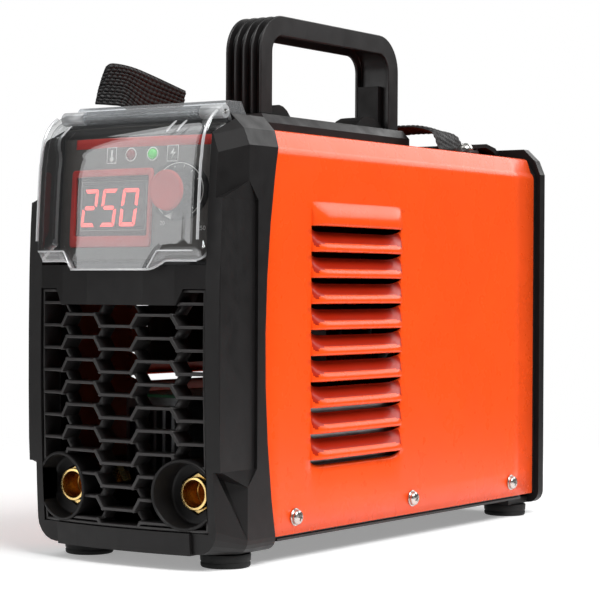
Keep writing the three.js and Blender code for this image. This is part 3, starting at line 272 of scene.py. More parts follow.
def bevelled(made, width=0.5, segments=3, angle=30):
    modifier = made.modifiers.new("Bevel", "BEVEL")
    modifier.width = width / 1000
    modifier.segments = segments
    modifier.limit_method = "ANGLE"
    modifier.angle_limit = math.radians(angle)
    modifier.harden_normals = True
    modifier.use_clamp_overlap = True
    return made


def applied(made):
    """Bakes a piece's modifiers into its mesh."""
    graph = bpy.context.evaluated_depsgraph_get()
    graph.update()
    mesh = bpy.data.meshes.new_from_object(made.evaluated_get(graph))
    made.modifiers.clear()
    made.data = mesh
    return made


def cut(made, cutter, operation="DIFFERENCE"):
    modifier = made.modifiers.new("Cut", "BOOLEAN")
    modifier.object = cutter
    modifier.operation = operation
    modifier.solver = "EXACT"
    applied(made)
    bpy.data.objects.remove(cutter)
    return made


def lathe(profile, centre, axis, segments=64, closed=False):
    """Points and faces for a profile [radius, along] turned round an axis through centre."""
    cx, cy, cz = centre
    verts = []
    faces = []
    for r, h in profile:
        for i in range(segments):
            a = 2 * math.pi * i / segments
            u, v = r * math.cos(a), r * math.sin(a)
            if axis == "z":
                verts.append((cx + u, cy + v, cz + h))
            elif axis == "y":
                verts.append((cx + u, cy + h, cz + v))
            else:
                verts.append((cx + h, cy + u, cz + v))
    rows = len(profile)
    for j in range(rows if closed else rows - 1):
        k = (j + 1) % rows
        for i in range(segments):
            n = (i + 1) % segments
            faces.append((j * segments + i, j * segments + n, k * segments + n, k * segments + i))
    if not closed:
        if profile[0][0] > 0:
            faces.append(tuple(range(segments)))
        if profile[-1][0] > 0:
            faces.append(tuple((rows - 1) * segments + i for i in range(segments)))
    return verts, faces


def grid(rows, closed_rows=False, closed_columns=False):
    """Points and faces from rows of points of equal length."""
    columns = len(rows[0])
    verts = [p for row in rows for p in row]
    faces = []
    for j in range(len(rows) if closed_rows else len(rows) - 1):
        k = (j + 1) % len(rows)
        for i in range(columns if closed_columns else columns - 1):
            n = (i + 1) % columns
            faces.append((j * columns + i, j * columns + n, k * columns + n, k * columns + i))
    return verts, faces


def merged(*parts):
    verts = []
    faces = []
    for part_verts, part_faces in parts:
        start = len(verts)
        verts += part_verts
        faces += [tuple(i + start for i in f) for f in part_faces]
    return verts, faces


def prism(outline, lift, y0, y1):
    """An outline [x, z] between two depths; lift(x, z) adds the bow of the front."""
    n = len(outline)
    verts = [(x, y0 + lift(x, z), z) for x, z in outline] + [(x, y1 + lift(x, z), z) for x, z in outline]
    faces = [tuple(range(n)), tuple(range(2 * n - 1, n - 1, -1))]
    faces += [(i, (i + 1) % n, n + (i + 1) % n, n + i) for i in range(n)]
    return verts, faces


def box(x0, x1, y0, y1, z0, z1):
    outline = [(x0, z0), (x1, z0), (x1, z1), (x0, z1)]
    return prism(outline, lambda x, z: 0, y0, y1)


def arc(cx, cy, r, start, end, steps):
    points = []
    for i in range(steps + 1):
        a = math.radians(start + (end - start) * i / steps)
        points.append((cx + r * math.cos(a), cy + r * math.sin(a)))
    return points


def smoothstep(value):
    t = max(0.0, min(1.0, value))
    return t * t * (3 - 2 * t)


def spline(points, steps):
    """A Catmull-Rom curve through points of any length, with the given steps per span."""
    padded = [points[0]] + list(points) + [points[-1]]
    out = []
    for i in range(1, len(padded) - 2):
        p0, p1, p2, p3 = padded[i - 1 : i + 3]
        for j in range(steps):
            t = j / steps
            out.append(
                tuple(
                    0.5
                    * (
                        2 * b
                        + (c - a) * t
                        + (2 * a - 5 * b + 4 * c - d) * t * t
                        + (3 * b - a - 3 * c + d) * t**3
                    )
                    for a, b, c, d in zip(p0, p1, p2, p3)
                )
            )
    out.append(tuple(points[-1]))
    return out


def flat(x, z):
    return 0.0


BOX_FACES = [(0, 1, 2, 3), (7, 6, 5, 4), (0, 4, 5, 1), (1, 5, 6, 2), (2, 6, 7, 3), (3, 7, 4, 0)]


def slice_across(bm, point, direction, dist):
    """New edges where a plane through point crosses the mesh."""
    everything = bm.verts[:] + bm.edges[:] + bm.faces[:]
    bmesh.ops.bisect_plane(bm, geom=everything, dist=dist, plane_co=point, plane_no=direction)


# ---- CAD nodes that stay -------------------------------------------------------------------
def dress(node, material, bevel=0.0, segments=2, sharp=32):
    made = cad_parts[node]
    made.data.materials.clear()
    made.data.materials.append(material)
    if bevel:
        planar = made.modifiers.new("Planar", "DECIMATE")
        planar.decimate_type = "DISSOLVE"
        planar.angle_limit = math.radians(1.0)
        modifier = made.modifiers.new("Bevel", "BEVEL")
        modifier.width = bevel / 1000
        modifier.segments = segments
        modifier.limit_method = "ANGLE"
        modifier.angle_limit = math.radians(sharp)
        modifier.harden_normals = True
    for polygon in made.data.polygons:
        polygon.use_smooth = True
    return made


dress("front_bezel", BLACK, 0.9, 3)
dress("rear_bezel", BLACK, 0.9, 3)
dress("control_plate", BLACK_GLOSS, 0.2)
dress("cover_hinge_block", CLEAR_BLOCK, 1.6, 4)
dress("cover_hinge_pin", ZINC)
dress("base_pan", BLACK_COAT, 0.2)
dress("handle_base", BLACK, 0.7, 3)
dress("handle_bolt_front", ZINC, 0.3)
dress("handle_bolt_rear", ZINC, 0.3)
dress("fan_frame", BLACK, 0.4)
dress("rocker_switch_body", BLACK_GLOSS, 0.5, 3)
dress("gland_nut", BLACK, 0.3)
dress("knob_shaft", ZINC)
dress("potentiometer", ZINC, 0.3)
dress("control_board", BOARD)
dress("main_board", BOARD)
dress("socket_nut_right", BRASS, 0.4)
dress("socket_nut_left", BRASS, 0.4)
dress("heatsink_right", ALUMINIUM, 0.2)
dress("heatsink_left", ALUMINIUM, 0.2)
dress("transformer_core", FERRITE, 0.4)
dress("bridge_rectifier", EPOXY, 0.4)
dress("display_module", BLACK_GLOSS, 0.3)

# ---- Steel cover ---------------------------------------------------------------------------
SHELL_HALF = 58.0
SHELL_TOP = 212.6
SHELL_Z0 = 13.3
SHELL_Y = (-128.0, 154.0)
SHEET = 1.0
LOUVRE_COUNT = 10
LOUVRE_PITCH = 13.05
LOUVRE_LIP = 166.1 - 9 * LOUVRE_PITCH  # lip of the lowest louvre
LOUVRE_Y = (-81.5, 4.0)
LOUVRE_SLOT = 2.9
# louvre sections from the lip up: part of the pitch, and how far out of the side
LOUVRE_SLAT = [
    (0.0, 3.0), (0.03, 3.7), (0.08, 4.05), (0.16, 4.2), (0.26, 4.0), (0.38, 3.1),
    (0.52, 1.6), (0.68, -0.3), (0.84, -1.9), (0.95, -2.7), (1.0, -2.9),
]
LOUVRE_CROWN = [
    (0.0, 3.0), (0.03, 3.7), (0.08, 4.1), (0.2, 4.35), (0.36, 4.2),
    (0.54, 3.5), (0.7, 2.3), (0.84, 1.0), (0.95, 0.15), (1.0, 0.0),
]


def louvre_end(y):
    """How much of a louvre's form there is at a place along it: none at its ends."""
    reach = max(0.0, min(y - LOUVRE_Y[0], LOUVRE_Y[1] - y))
    t = min(1.0, reach / 12.0)
    return math.sqrt(1 - (1 - t) ** 2)


def louvre_rows(ys):
    """Rows of the side's points from bottom to top, and the rows that end at a slot."""
    rows = []
    slots = []
    below = []
    for y in ys:
        below.append((SHELL_HALF - 1.2 * louvre_end(y), y, LOUVRE_LIP - LOUVRE_SLOT * louvre_end(y)))
    rows.append([(SHELL_HALF, y, SHELL_Z0) for y in ys])
    rows.append([(SHELL_HALF, y, SHELL_Z0 + 14) for y in ys])
    rows.append([(SHELL_HALF, y, LOUVRE_LIP - LOUVRE_SLOT - 4.0) for y in ys])
    rows.append([(SHELL_HALF - 0.35 * louvre_end(y), y, LOUVRE_LIP - LOUVRE_SLOT - 1.6) for y in ys])
    rows.append(below)
    for index in range(LOUVRE_COUNT):
        lip = LOUVRE_LIP + index * LOUVRE_PITCH
        slots.append(len(rows) - 1)
        top = index == LOUVRE_COUNT - 1
        line = spline(LOUVRE_CROWN if top else LOUVRE_SLAT, 2)
        for t, reach in line:
            row = []
            for y in ys:
                end = louvre_end(y)
                height = 12.4 if top else LOUVRE_PITCH - LOUVRE_SLOT * end
                bend = end * (1 - 0.5 * t * (1 - end))
                row.append((SHELL_HALF + reach * bend, y, lip + t * height))
            rows.append(row)
    rows.append([(SHELL_HALF, y, 190.0) for y in ys])
    return rows, slots


def cover_columns():
    y0, y1 = SHELL_Y
    a, b = LOUVRE_Y
    ys = [y0, y0 + 20, a - 5]
    ys += [a + 10 * (k / 18) ** 1.6 for k in range(19)]
    ys += [a + 10 + (b - a - 20) * k / 12 for k in range(1, 12)]
    ys += [b - 10 * (k / 18) ** 1.6 for k in range(18, -1, -1)]
    return ys + [b + 5, 40.0, 90.0, 130.0, y1]


def shell_skin():
    ys = cover_columns()
    rows, slots = louvre_rows(ys)
    section = arc(SHELL_HALF - 6, 199.6, 6, 0, 50, 7) + arc(50.2, SHELL_TOP - 5, 5, 50, 90, 6)
    section += [(30.0, SHELL_TOP), (10.0, SHELL_TOP)]
    right = rows + [[(x, y, z) for y in ys] for x, z in section]
    left = [[(-x, y, z) for x, y, z in row] for row in reversed(right)]
    last = 2 * len(right) - 1
    open_rows = set(slots) | {last - 1 - b for b in slots}
    verts, faces = grid(right + left)
    kept = [face for index, face in enumerate(faces) if index // (len(ys) - 1) not in open_rows]
    made = piece("cover_skin", verts, kept, ORANGE, slot="orange_paint", sharp=60)
    solid = made.modifiers.new("Sheet", "SOLIDIFY")
    solid.thickness = SHEET / 1000
    solid.offset = -1
    for material in (ORANGE_INSIDE_SHADE, ORANGE_PAINTED_SHADE, ORANGE_INSIDE_SHADE):
        made.data.materials.append(material)
    # painted shade: the sheet's inner side takes the dark inside orange
    solid.material_offset = 1
    # painted shade: the upward faces of the louvre recesses take the darker orange in place of their shade
    crown = LOUVRE_LIP + (LOUVRE_COUNT - 1) * LOUVRE_PITCH
    for polygon in made.data.polygons:
        proud = abs(polygon.center.x) * 1000 - SHELL_HALF
        height = polygon.center.z * 1000
        if proud < 2.6 and polygon.normal.z > 0.14 and LOUVRE_LIP < height < crown:
            polygon.material_index = 2
    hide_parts("shell_cover")


shell_skin()

# ---- Clear lid -----------------------------------------------------------------------------
LID_HALF = 50.9
LID_PROUD = 5.8
LID_WALL = 2.0
LID_DOME = [
    (-167.7, 196.0), (-166.6, 202.0), (-163.6, 208.5), (-158.2, 214.4), (-151.2, 218.8), (-142.3, 222.4),
]


def lid_bottom(x):
    """Lower edge of the lid: a central tab that steps up to the sides."""
    return 143.0 + 4.2 * smoothstep((abs(x) - 23.5) / 8.5)


def lid_crease(x):
    """Height where the lid's front bends into the sloping flange beside the tab."""
    return 143.4 + 8.8 * max(0.0, min(1.0, (abs(x) - 23.5) / 5.5))


def lid_profile(x):
    """The lid's outer line [y, z] at one place across it, from its lower edge to its hinge edge."""
    points = []
    low, crease = lid_bottom(x), lid_crease(x)
    for t in (0.0, 0.5, 1.0):
        z = low + (crease - low) * t
        points.append((front_y(x, z) - LID_PROUD + 0.75 * (crease - z) * (crease > 144), z))
    bow = front_y(x, 196.0) - front_y(0, 196.0)
    for k in range(1, 9):
        z = crease + (194.0 - crease) * k / 8
        points.append((front_y(x, z) - LID_PROUD, z))
    dome = spline(LID_DOME, 4)[1:]
    for k, (y, z) in enumerate(dome):
        weight = 1 - smoothstep(k / (len(dome) - 1))
        points.append((y + bow * weight, z))
    return points


def lid_shell():
    corner = 4.5
    columns = []
    for a in range(0, 6):
        columns.append((-1, "wall", 1 - a / 5))
    for a in range(1, 7):
        columns.append((-1, "turn", a / 6))
    for a in range(1, 24):
        columns.append((0, "front", a / 24))
    for a in range(6, 0, -1):
        columns.append((1, "turn", a / 6))
    for a in range(5, -1, -1):
        columns.append((1, "wall", 1 - a / 5))
    columns_points = []
    flat_half = LID_HALF - corner
    for side, kind, t in columns:
        if kind == "front":
            x, depth = -flat_half + 2 * flat_half * t, 0.0
        elif kind == "turn":
            a = 0.5 * math.pi * (1 - t)
            x = side * (flat_half + corner * math.sin(a))
            depth = corner * (1 - math.cos(a))
        else:
            x, depth = side * LID_HALF, corner + t * (15.3 - corner)
        line = lid_profile(max(-flat_half, min(flat_half, x)))
        moved = []
        for k, (y, z) in enumerate(line):
            before = line[max(0, k - 1)]
            after = line[min(len(line) - 1, k + 1)]
            dy, dz = after[0] - before[0], after[1] - before[1]
            size = math.hypot(dy, dz)
            inward = (dz / size, -dy / size)
            reach = k / (len(line) - 1)
            limit = depth
            if depth > corner:
                limit = corner + (depth - corner) * (1 - 0.62 * smoothstep((reach - 0.42) / 0.5))
            moved.append((x, y + inward[0] * limit, z + inward[1] * limit))
        columns_points.append(moved)
    verts, faces = grid(columns_points)
    made = piece("clear_lid", verts, faces, CLEAR, body="cover", slot="clear_plastic", sharp=50)
    made.data.materials.append(CLEAR_EDGE)
    wall = made.modifiers.new("Wall", "SOLIDIFY")
    wall.thickness = LID_WALL / 1000
    wall.offset = -1
    wall.material_offset_rim = 1
    bevelled(made, 0.35, 2, 50)
    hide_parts("clear_cover")
    return made


def lid_trim():
    """Polished ribs and hinge barrels of the lid."""
    for side in (-1, 1):
        profile = [(1.5, 0), (3.2, 0.0), (3.4, 0.3), (3.4, 13.4), (3.2, 13.7), (1.5, 13.7)]
        start = (side * 36.6 if side > 0 else -50.3, -143.5, 219.0)
        name = "lid_barrel_" + ("right" if side > 0 else "left")
        verts, faces = lathe(profile, start, "x", 40, True)
        made = piece(name, verts, faces, CLEAR_EDGE, body="cover", slot="clear_plastic", sharp=40)
        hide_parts("clear_cover")
    for index, x in enumerate((-41.5, -35.5, 30.5, 36.5)):
        line = [p for p in lid_profile(x) if p[1] > 208.0][:6]
        stations = []
        for k, (y, z) in enumerate(spline([line[0], line[2], line[4]], 5)):
            t = k / 10
            swell = math.sqrt(max(0.0, 1 - (2 * t - 1) ** 2))
            ring = []
            for a in range(12):
                angle = 2 * math.pi * a / 12
                ring.append((
                    x + (t - 0.5) * 3 + 0.9 * swell * math.cos(angle),
                    y - 0.2 + 0.35 * swell * math.sin(angle),
                    z + 0.5 * swell * math.sin(angle),
                ))
            stations.append(ring)
        verts, faces = grid(stations, closed_columns=True)
        piece(f"lid_rib_{index + 1}", verts, faces, CLEAR_EDGE, body="cover", slot="clear_plastic", sharp=60)


def bead(name, points, radius, material, body, slot):
    """A thin round bead along a line."""
    rows = []
    for k, point in enumerate(points):
        ahead = Vector(points[min(k + 1, len(points) - 1)]) - Vector(points[max(k - 1, 0)])
        side = ahead.cross(Vector((0.31, 0.94, 0.11))).normalized()
        lift = ahead.cross(side).normalized()
        here = Vector(point)
        row = []
        for i in range(10):
            a = 2 * math.pi * i / 10
            row.append(tuple(here + (side * math.cos(a) + lift * math.sin(a)) * radius))
        rows.append(row)
    verts, faces = grid(rows, closed_columns=True)
    faces += [tuple(range(10)), tuple((len(rows) - 1) * 10 + i for i in range(10))]
    return piece(name, verts, faces, material, body=body, slot=slot, sharp=60)


def lid_highlight_beads():
    """Painted highlight: bright clear beads along the lid's lower edge, the creases beside the tab and its two
    side edges, in place of the highlight lines there.
    """
    flat_half = LID_HALF - 3.0
    low, crease_right, crease_left = [], [], []
    for k in range(97):
        x = -flat_half + 2 * flat_half * k / 96
        line = lid_profile(x)
        low.append((x, line[0][0] - 0.1, line[0][1] + 0.3))
        if x > 23.5:
            crease_right.append((x, line[2][0] - 0.1, line[2][1]))
        if x < -23.5:
            crease_left.append((x, line[2][0] - 0.1, line[2][1]))
    bead("lid_highlight_bead_low", low, 0.5, CLEAR_EDGE, "cover", "clear_plastic")
    bead("lid_highlight_bead_crease_right", crease_right, 0.4, CLEAR_EDGE, "cover", "clear_plastic")
    bead("lid_highlight_bead_crease_left", crease_left, 0.4, CLEAR_EDGE, "cover", "clear_plastic")
    for side, side_name in ((-1, "left"), (1, "right")):
        edge = []
        for y, z in lid_profile(side * flat_half)[3:-4]:
            edge.append((side * (LID_HALF - 0.9), y + 0.9, z))
        bead("lid_highlight_bead_side_" + side_name, edge, 0.75, CLEAR_EDGE, "cover", "clear_plastic")


lid_shell()
lid_trim()
lid_highlight_beads()


# ---- Control panel -------------------------------------------------------------------------
def on_panel(x, z, lift):
    return (x, front_y(x, z) + RECESS - lift, z)


def decal(name, loops, material, lift=0.08, thickness=0.06, body="chassis", slot="label"):
    """Printed shapes on the bowed panel: outlines [x, z], cut finely enough to follow the bow."""
    bm = bmesh.new()
    for loop in loops:
        face = bm.faces.new([bm.verts.new((x, 0, z)) for x, z in loop])
        face.normal_update()
    xs = [v.co.x for v in bm.verts]
    x = math.floor(min(xs) / 3) * 3
    while x < max(xs):
        slice_across(bm, (x, 0, 0), (1, 0, 0), 1e-5)
        x += 3
    zs = [v.co.z for v in bm.verts]
    z = math.floor(min(zs) / 8) * 8
    while z < max(zs):
        slice_across(bm, (0, 0, z), (0, 0, 1), 1e-5)
        z += 8
    bmesh.ops.triangulate(bm, faces=bm.faces[:])
    verts = [on_panel(v.co.x, v.co.z, lift) for v in bm.verts]
    bm.verts.index_update()
    faces = [tuple(v.index for v in f.verts) for f in bm.faces]
    bm.free()
    made = piece(name, verts, faces, material, body, slot, 60)
    film = made.modifiers.new("Film", "SOLIDIFY")
    film.thickness = thickness / 1000
    film.offset = 0
    return made


def rect(x0, x1, z0, z1):
    return [(x0, z0), (x1, z0), (x1, z1), (x0, z1)]


def ring_loops(x, z, r0, r1, steps=36, start=0.0, end=360.0):
    loops = []
    for k in range(steps):
        a = math.radians(start + (end - start) * k / steps)
        b = math.radians(start + (end - start) * (k + 1) / steps)
        loops.append([
            (x + r0 * math.cos(a), z + r0 * math.sin(a)),
            (x + r1 * math.cos(a), z + r1 * math.sin(a)),
            (x + r1 * math.cos(b), z + r1 * math.sin(b)),
            (x + r0 * math.cos(b), z + r0 * math.sin(b)),
        ])
    return loops


def frame_loops(x0, x1, z0, z1, w):
    return [
        rect(x0, x1, z0, z0 + w),
        rect(x0, x1, z1 - w, z1),
        rect(x0, x0 + w, z0 + w, z1 - w),
        rect(x1 - w, x1, z0 + w, z1 - w),
    ]


def label_sheet():
    """The printed film on the bowed panel, with openings for the display, lamps and knob."""
    bm = bmesh.new()
    half, z0, z1 = 50.0, 147.8, 213.5
    nx, nz = 100, 66
    for i in range(nx):
        for j in range(nz):
            xa, xb = -half + 2 * half * i / nx, -half + 2 * half * (i + 1) / nx
            za, zb = z0 + (z1 - z0) * j / nz, z0 + (z1 - z0) * (j + 1) / nz
            corners = [(xa, 0, za), (xb, 0, za), (xb, 0, zb), (xa, 0, zb)]
            bm.faces.new([bm.verts.new(corner) for corner in corners])
    bmesh.ops.remove_doubles(bm, verts=bm.verts, dist=1e-4)
    gone = []
    for face in bm.faces:
        c = face.calc_center_median()
        in_window = -38.4 < c.x < 10.2 and 159.4 < c.z < 189.6
        if in_window or math.hypot(c.x - 27, c.z - 181.3) < 3.0:
            gone.append(face)
        elif min(math.hypot(c.x - 11, c.z - 199.6), math.hypot(c.x + 2.3, c.z - 199.6)) < 2.0:
            gone.append(face)
    bmesh.ops.delete(bm, geom=gone, context="FACES")
    bm.verts.index_update()
    verts = [on_panel(v.co.x, v.co.z, 0) for v in bm.verts]
    faces = [tuple(v.index for v in f.verts) for f in bm.faces]
    bm.free()
    made = piece("label_film", verts, faces, LABEL, slot="label", sharp=60)
    film = made.modifiers.new("Film", "SOLIDIFY")
    film.thickness = 0.0006
    film.offset = -1
    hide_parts("panel_label")


SEGMENTS = {"2": "abged", "5": "afgcd", "0": "abcdef"}


def digit_loops(character, x, z, width=10.2, height=18.6, w=1.9, lean=0.12):
    """Seven-segment strokes with pointed ends, leaning slightly."""
    h = height / 2
    g = 0.28
    bars = {
        "a": [
            (w * 0.2 + g, height), (width - w * 0.2 - g, height),
            (width - w * 1.1, height - w), (w * 1.1, height - w),
        ],
        "d": [(w * 0.2 + g, 0), (w * 1.1, w), (width - w * 1.1, w), (width - w * 0.2 - g, 0)],
        "g": [
            (w * 0.6 + g, h), (w * 1.2, h + w / 2), (width - w * 1.2, h + w / 2),
            (width - w * 0.6 - g, h), (width - w * 1.2, h - w / 2), (w * 1.2, h - w / 2),
        ],
    }
    side = [
        (0, h + g * 2), (w * 0.9, h + w * 0.5 + g * 1.5), (w, height - w * 1.5),
        (w * 0.3, height - g), (0, height - w * 0.6),
    ]
    bars["f"] = side
    bars["b"] = [(width - px, pz) for px, pz in reversed(side)]
    bars["e"] = [(px, height - pz) for px, pz in reversed(side)]
    bars["c"] = [(width - px, height - pz) for px, pz in side]
    loops = []
    for name in SEGMENTS[character]:
        loops.append([(x + px + lean * pz, z + pz) for px, pz in bars[name]])
    return loops


def display():
    x0, x1, z0, z1 = -41.5, 12.5, 154.3, 192.8
    ix0, ix1, iz0, iz1 = -38.1, 10.2, 159.9, 189.4

    def ring_at(outline, lift):
        return [on_panel(x, z, lift) for x, z in outline]

    def rounded(a0, a1, b0, b1, r, extra=5):
        points = []
        corners = [(a1 - r, b0 + r, -90), (a1 - r, b1 - r, 0), (a0 + r, b1 - r, 90), (a0 + r, b0 + r, 180)]
        for k, (cx, cz, start) in enumerate(corners):
            points += arc(cx, cz, r, start, start + 90, 4)
            nx_, nz_, ns = corners[(k + 1) % 4]
            px, pz = points[-1]
            qx, qz = arc(nx_, nz_, r, ns, ns + 90, 4)[0]
            for m in range(1, extra + 1):
                t = m / (extra + 1)
                points.append((px + (qx - px) * t, pz + (qz - pz) * t))
        return points

    rows = [
        ring_at(rounded(x0, x1, z0, z1, 2.0), 0.05),
        ring_at(rounded(x0, x1, z0, z1, 2.0), 1.0),
        ring_at(rounded(x0 + 0.5, x1 - 0.5, z0 + 0.5, z1 - 0.5, 1.6), 1.5),
        ring_at(rounded(ix0 - 0.5, ix1 + 0.5, iz0 - 0.5, iz1 + 0.5, 1.0), 1.5),
        ring_at(rounded(ix0, ix1, iz0, iz1, 0.7), 1.1),
        ring_at(rounded(ix0, ix1, iz0, iz1, 0.7), -1.6),
    ]
    verts, faces = grid(rows, closed_columns=True, closed_rows=True)
    made = piece("display_surround", verts, faces, RED, slot="red_plastic", sharp=40)
    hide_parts("display_frame")
    outline = rounded(ix0 + 0.1, ix1 - 0.1, iz0 + 0.1, iz1 - 0.1, 0.6)
    decal("display_lens", [outline], SMOKED, -1.3, 0.5, slot="display")
    step = frame_loops(ix0 + 2.2, ix1 - 2.2, iz0 + 2.6, iz1 - 2.4, 0.5)
    decal("display_step", step, GREY_PRINT, -0.98, 0.04)
    strokes = []
    for k, character in enumerate("250"):
        strokes += digit_loops(character, -35.6 + 13.3 * k, 164.6)
    decal("display_digits", strokes, GLOW_RED, -0.92, 0.06, slot="display")


def lamp(name, x, material, slot):
    z = 199.6
    y = front_y(x, z) + RECESS
    turns = [math.radians(a) for a in range(10, 91, 10)]
    profile = [(0.02, -2.3)] + [(2.5 * math.sin(a), -2.3 * math.cos(a)) for a in turns] + [(2.5, 4.0)]
    verts, faces = lathe(profile, (x, y, z), "y", 40)
    made = piece(name + "_lens", verts, faces, material, slot=slot, sharp=50)
    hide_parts(name)
    decal(name + "_ring", ring_loops(x, z, 2.75, 3.45, 40), WHITE_PRINT, 0.1)


def knob():
    x, z = 27.0, 181.3
    y = front_y(x, z) + RECESS - 10.5
    profile = [(0.0, 0.4), (6.5, 0.35), (8.6, 0.0), (9.3, 0.15), (9.75, 0.7), (9.8, 1.8)]
    profile = [(max(r, 0.02), h) for r, h in profile] + [(9.4, 2.2), (0.02, 2.2)]
    verts, faces = lathe(profile, (x, y, z), "y", 96)
    piece("knob_cap", verts, faces, RED, body="knob", slot="red_plastic", sharp=40)
    rows = []
    for r, h in [(9.2, 1.9), (9.9, 1.9), (10.1, 2.4), (10.15, 7.2), (10.2, 8.0), (8.0, 8.0), (3.3, 8.0)]:
        row = []
        for i in range(192):
            a = 2 * math.pi * i / 192
            knurl = 0.22 * (0.5 + 0.5 * math.cos(24 * a)) if 9.95 < r < 10.18 else 0.0
            row.append((x + (r - knurl) * math.cos(a), y + h, z + (r - knurl) * math.sin(a)))
        rows.append(row)
    verts, faces = grid(rows, closed_columns=True)
    faces.append(tuple(range(192)))
    faces.append(tuple(6 * 192 + i for i in range(192)))
    made = piece("knob_skirt", verts, faces, BLACK_GLOSS, body="knob", slot="black_plastic", sharp=45)
    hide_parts("current_knob")


def text_loops(words, x, z, size):
    """Flat outlines of generic characters, as triangles [x, z]."""
    curve = bpy.data.curves.new("letters", "FONT")
    curve.body = words
    curve.size = size
    curve.align_x = "CENTER"
    curve.align_y = "CENTER"
    made = bpy.data.objects.new("letters", curve)
    bpy.context.scene.collection.objects.link(made)
    graph = bpy.context.evaluated_depsgraph_get()
    graph.update()
    mesh = bpy.data.meshes.new_from_object(made.evaluated_get(graph))
    points = [(x + v.co.x, z + v.co.y) for v in mesh.vertices]
    loops = [[points[i] for i in p.vertices] for p in mesh.polygons]
    bpy.data.objects.remove(made)
    return loops


def panel_print():
    decal("title_field", [rect(-49.6, 49.6, 208.6, 213.2)], BLACK_PRINT, 0.05)
    decal("red_band", [rect(-40.5, 49.6, 203.4, 208.2)], RED_PRINT, 0.07)
    knob_x, knob_z = 27.0, 181.3
    turns = [2 * math.pi * k / 60 for k in range(60)]
    disc = [(knob_x + 16.8 * math.cos(a), knob_z + 14.6 * math.sin(a)) for a in turns]
    clipped = [(max(14.3, px), pz) for px, pz in disc] 
    decal("dial_field", [clipped], BLACK_PRINT, 0.06)
    decal("dial_arc", ring_loops(knob_x, knob_z, 13.3, 13.75, 54, -45 - 8, 225 + 8), WHITE_PRINT, 0.12)
    ticks = []
    for k in range(12):
        a = math.radians(225 - 270 * k / 11)
        long = 1.5 if k % 2 == 0 else 0.9
        c, s = math.cos(a), math.sin(a)
        w = 0.18
        ticks.append([
            (knob_x + 11.4 * c - w * s, knob_z + 11.4 * s + w * c),
            (knob_x + (11.4 + long) * c - w * s, knob_z + (11.4 + long) * s + w * c),
            (knob_x + (11.4 + long) * c + w * s, knob_z + (11.4 + long) * s - w * c),
            (knob_x + 11.4 * c + w * s, knob_z + 11.4 * s - w * c),
        ])
    decal("dial_ticks", ticks, WHITE_PRINT, 0.12)
    decal("dial_wedge", [[(19.6, 169.4), (24.0, 171.0), (23.4, 167.6)]], WHITE_PRINT, 0.13)
    decal("dial_low_number", text_loops("20", 18.6, 165.8, 3.0), WHITE_PRINT, 0.13)
    decal("dial_high_number", text_loops("250", 40.4, 163.2, 3.0), WHITE_PRINT, 0.13)
    z = 199.6
    decal("heat_icon_frame", frame_loops(-18.0, -11.6, z - 4.0, z + 4.0, 0.35), WHITE_PRINT, 0.12)
    bulb = ring_loops(-14.8, z - 1.9, 0.01, 1.25, 20)
    decal("heat_icon", bulb + [rect(-15.35, -14.25, z - 1.5, z + 2.6)], WHITE_PRINT, 0.12)
    decal("power_icon_frame", frame_loops(19.6, 26.0, z - 4.0, z + 4.0, 0.35), WHITE_PRINT, 0.12)
    bolt = [
        (23.6, z + 2.9), (21.2, z - 0.4), (22.7, z - 0.2), (22.0, z - 2.9), (24.5, z + 0.6), (23.0, z + 0.4),
    ]
    decal("power_icon", [bolt[:3] + bolt[5:], bolt[2:6]], WHITE_PRINT, 0.12)


label_sheet()
display()
lamp("power_led", 11.0, GREEN_LAMP, "green_lamp")
lamp("fault_led", -2.3, RED_LAMP, "red_lamp")
knob()
panel_print()


# ---- Honeycomb grille and sockets ----------------------------------------------------------
SOCKET_X = 38.0
SOCKET_Z = 36.3
BRASS_Y = -151.1
CELL_PITCH_X = 22.85
CELL_PITCH_Z = 11.1
CELL_TOP = 121.5  # the bar at the top of the middle row of cells


def clipped_hexagon(x, z, x0, x1, z0, z1):
    """One honeycomb cell cut to a rectangle, or None."""
    half, side, rise = 9.8 - 0.75, 3.25, 4.8
    outline = [
        (x - half, z - rise), (x + half, z - rise), (x + half + side, z),
        (x + half, z + rise), (x - half, z + rise), (x - half - side, z),
    ]
    tests = [
        (lambda p: p[0] - x0), (lambda p: x1 - p[0]), (lambda p: p[1] - z0), (lambda p: z1 - p[1]),
    ]
    for inside in tests:
        kept = []
        for k, p in enumerate(outline):
            q = outline[(k + 1) % len(outline)]
            a, b = inside(p), inside(q)
            if a >= 0:
                kept.append(p)
            if (a >= 0) != (b >= 0):
                t = a / (a - b)
                kept.append((p[0] + (q[0] - p[0]) * t, p[1] + (q[1] - p[1]) * t))
        outline = kept
        if len(outline) < 3:
            return None
    return outline


def set_back_slants():
    """Blocks that set every second slanted bar behind the zigzag bars' front faces."""
    parts = []
    for column in (-2, 0, 2):
        for side in (-1, 1):
            for row in range(-1, 9):
                x0, z0 = column * CELL_PITCH_X + side * 9.8, CELL_TOP - 5.55 - CELL_PITCH_Z * row
                x1, z1 = x0 + side * 3.25, z0 - 5.55
                if abs(x1) > 50:
                    continue
                ux, uz = x1 - x0, z1 - z0
                size = math.hypot(ux, uz)
                ux, uz = ux / size, uz / size
                corners = []
                for along, across in ((0.75, -1.5), (size - 0.75, -1.5), (size - 0.75, 1.5), (0.75, 1.5)):
                    corners.append((x0 + ux * along - uz * across, z0 + uz * along + ux * across))
                parts.append(prism(corners, flat, -12, -2.4))
    return merged(*parts)


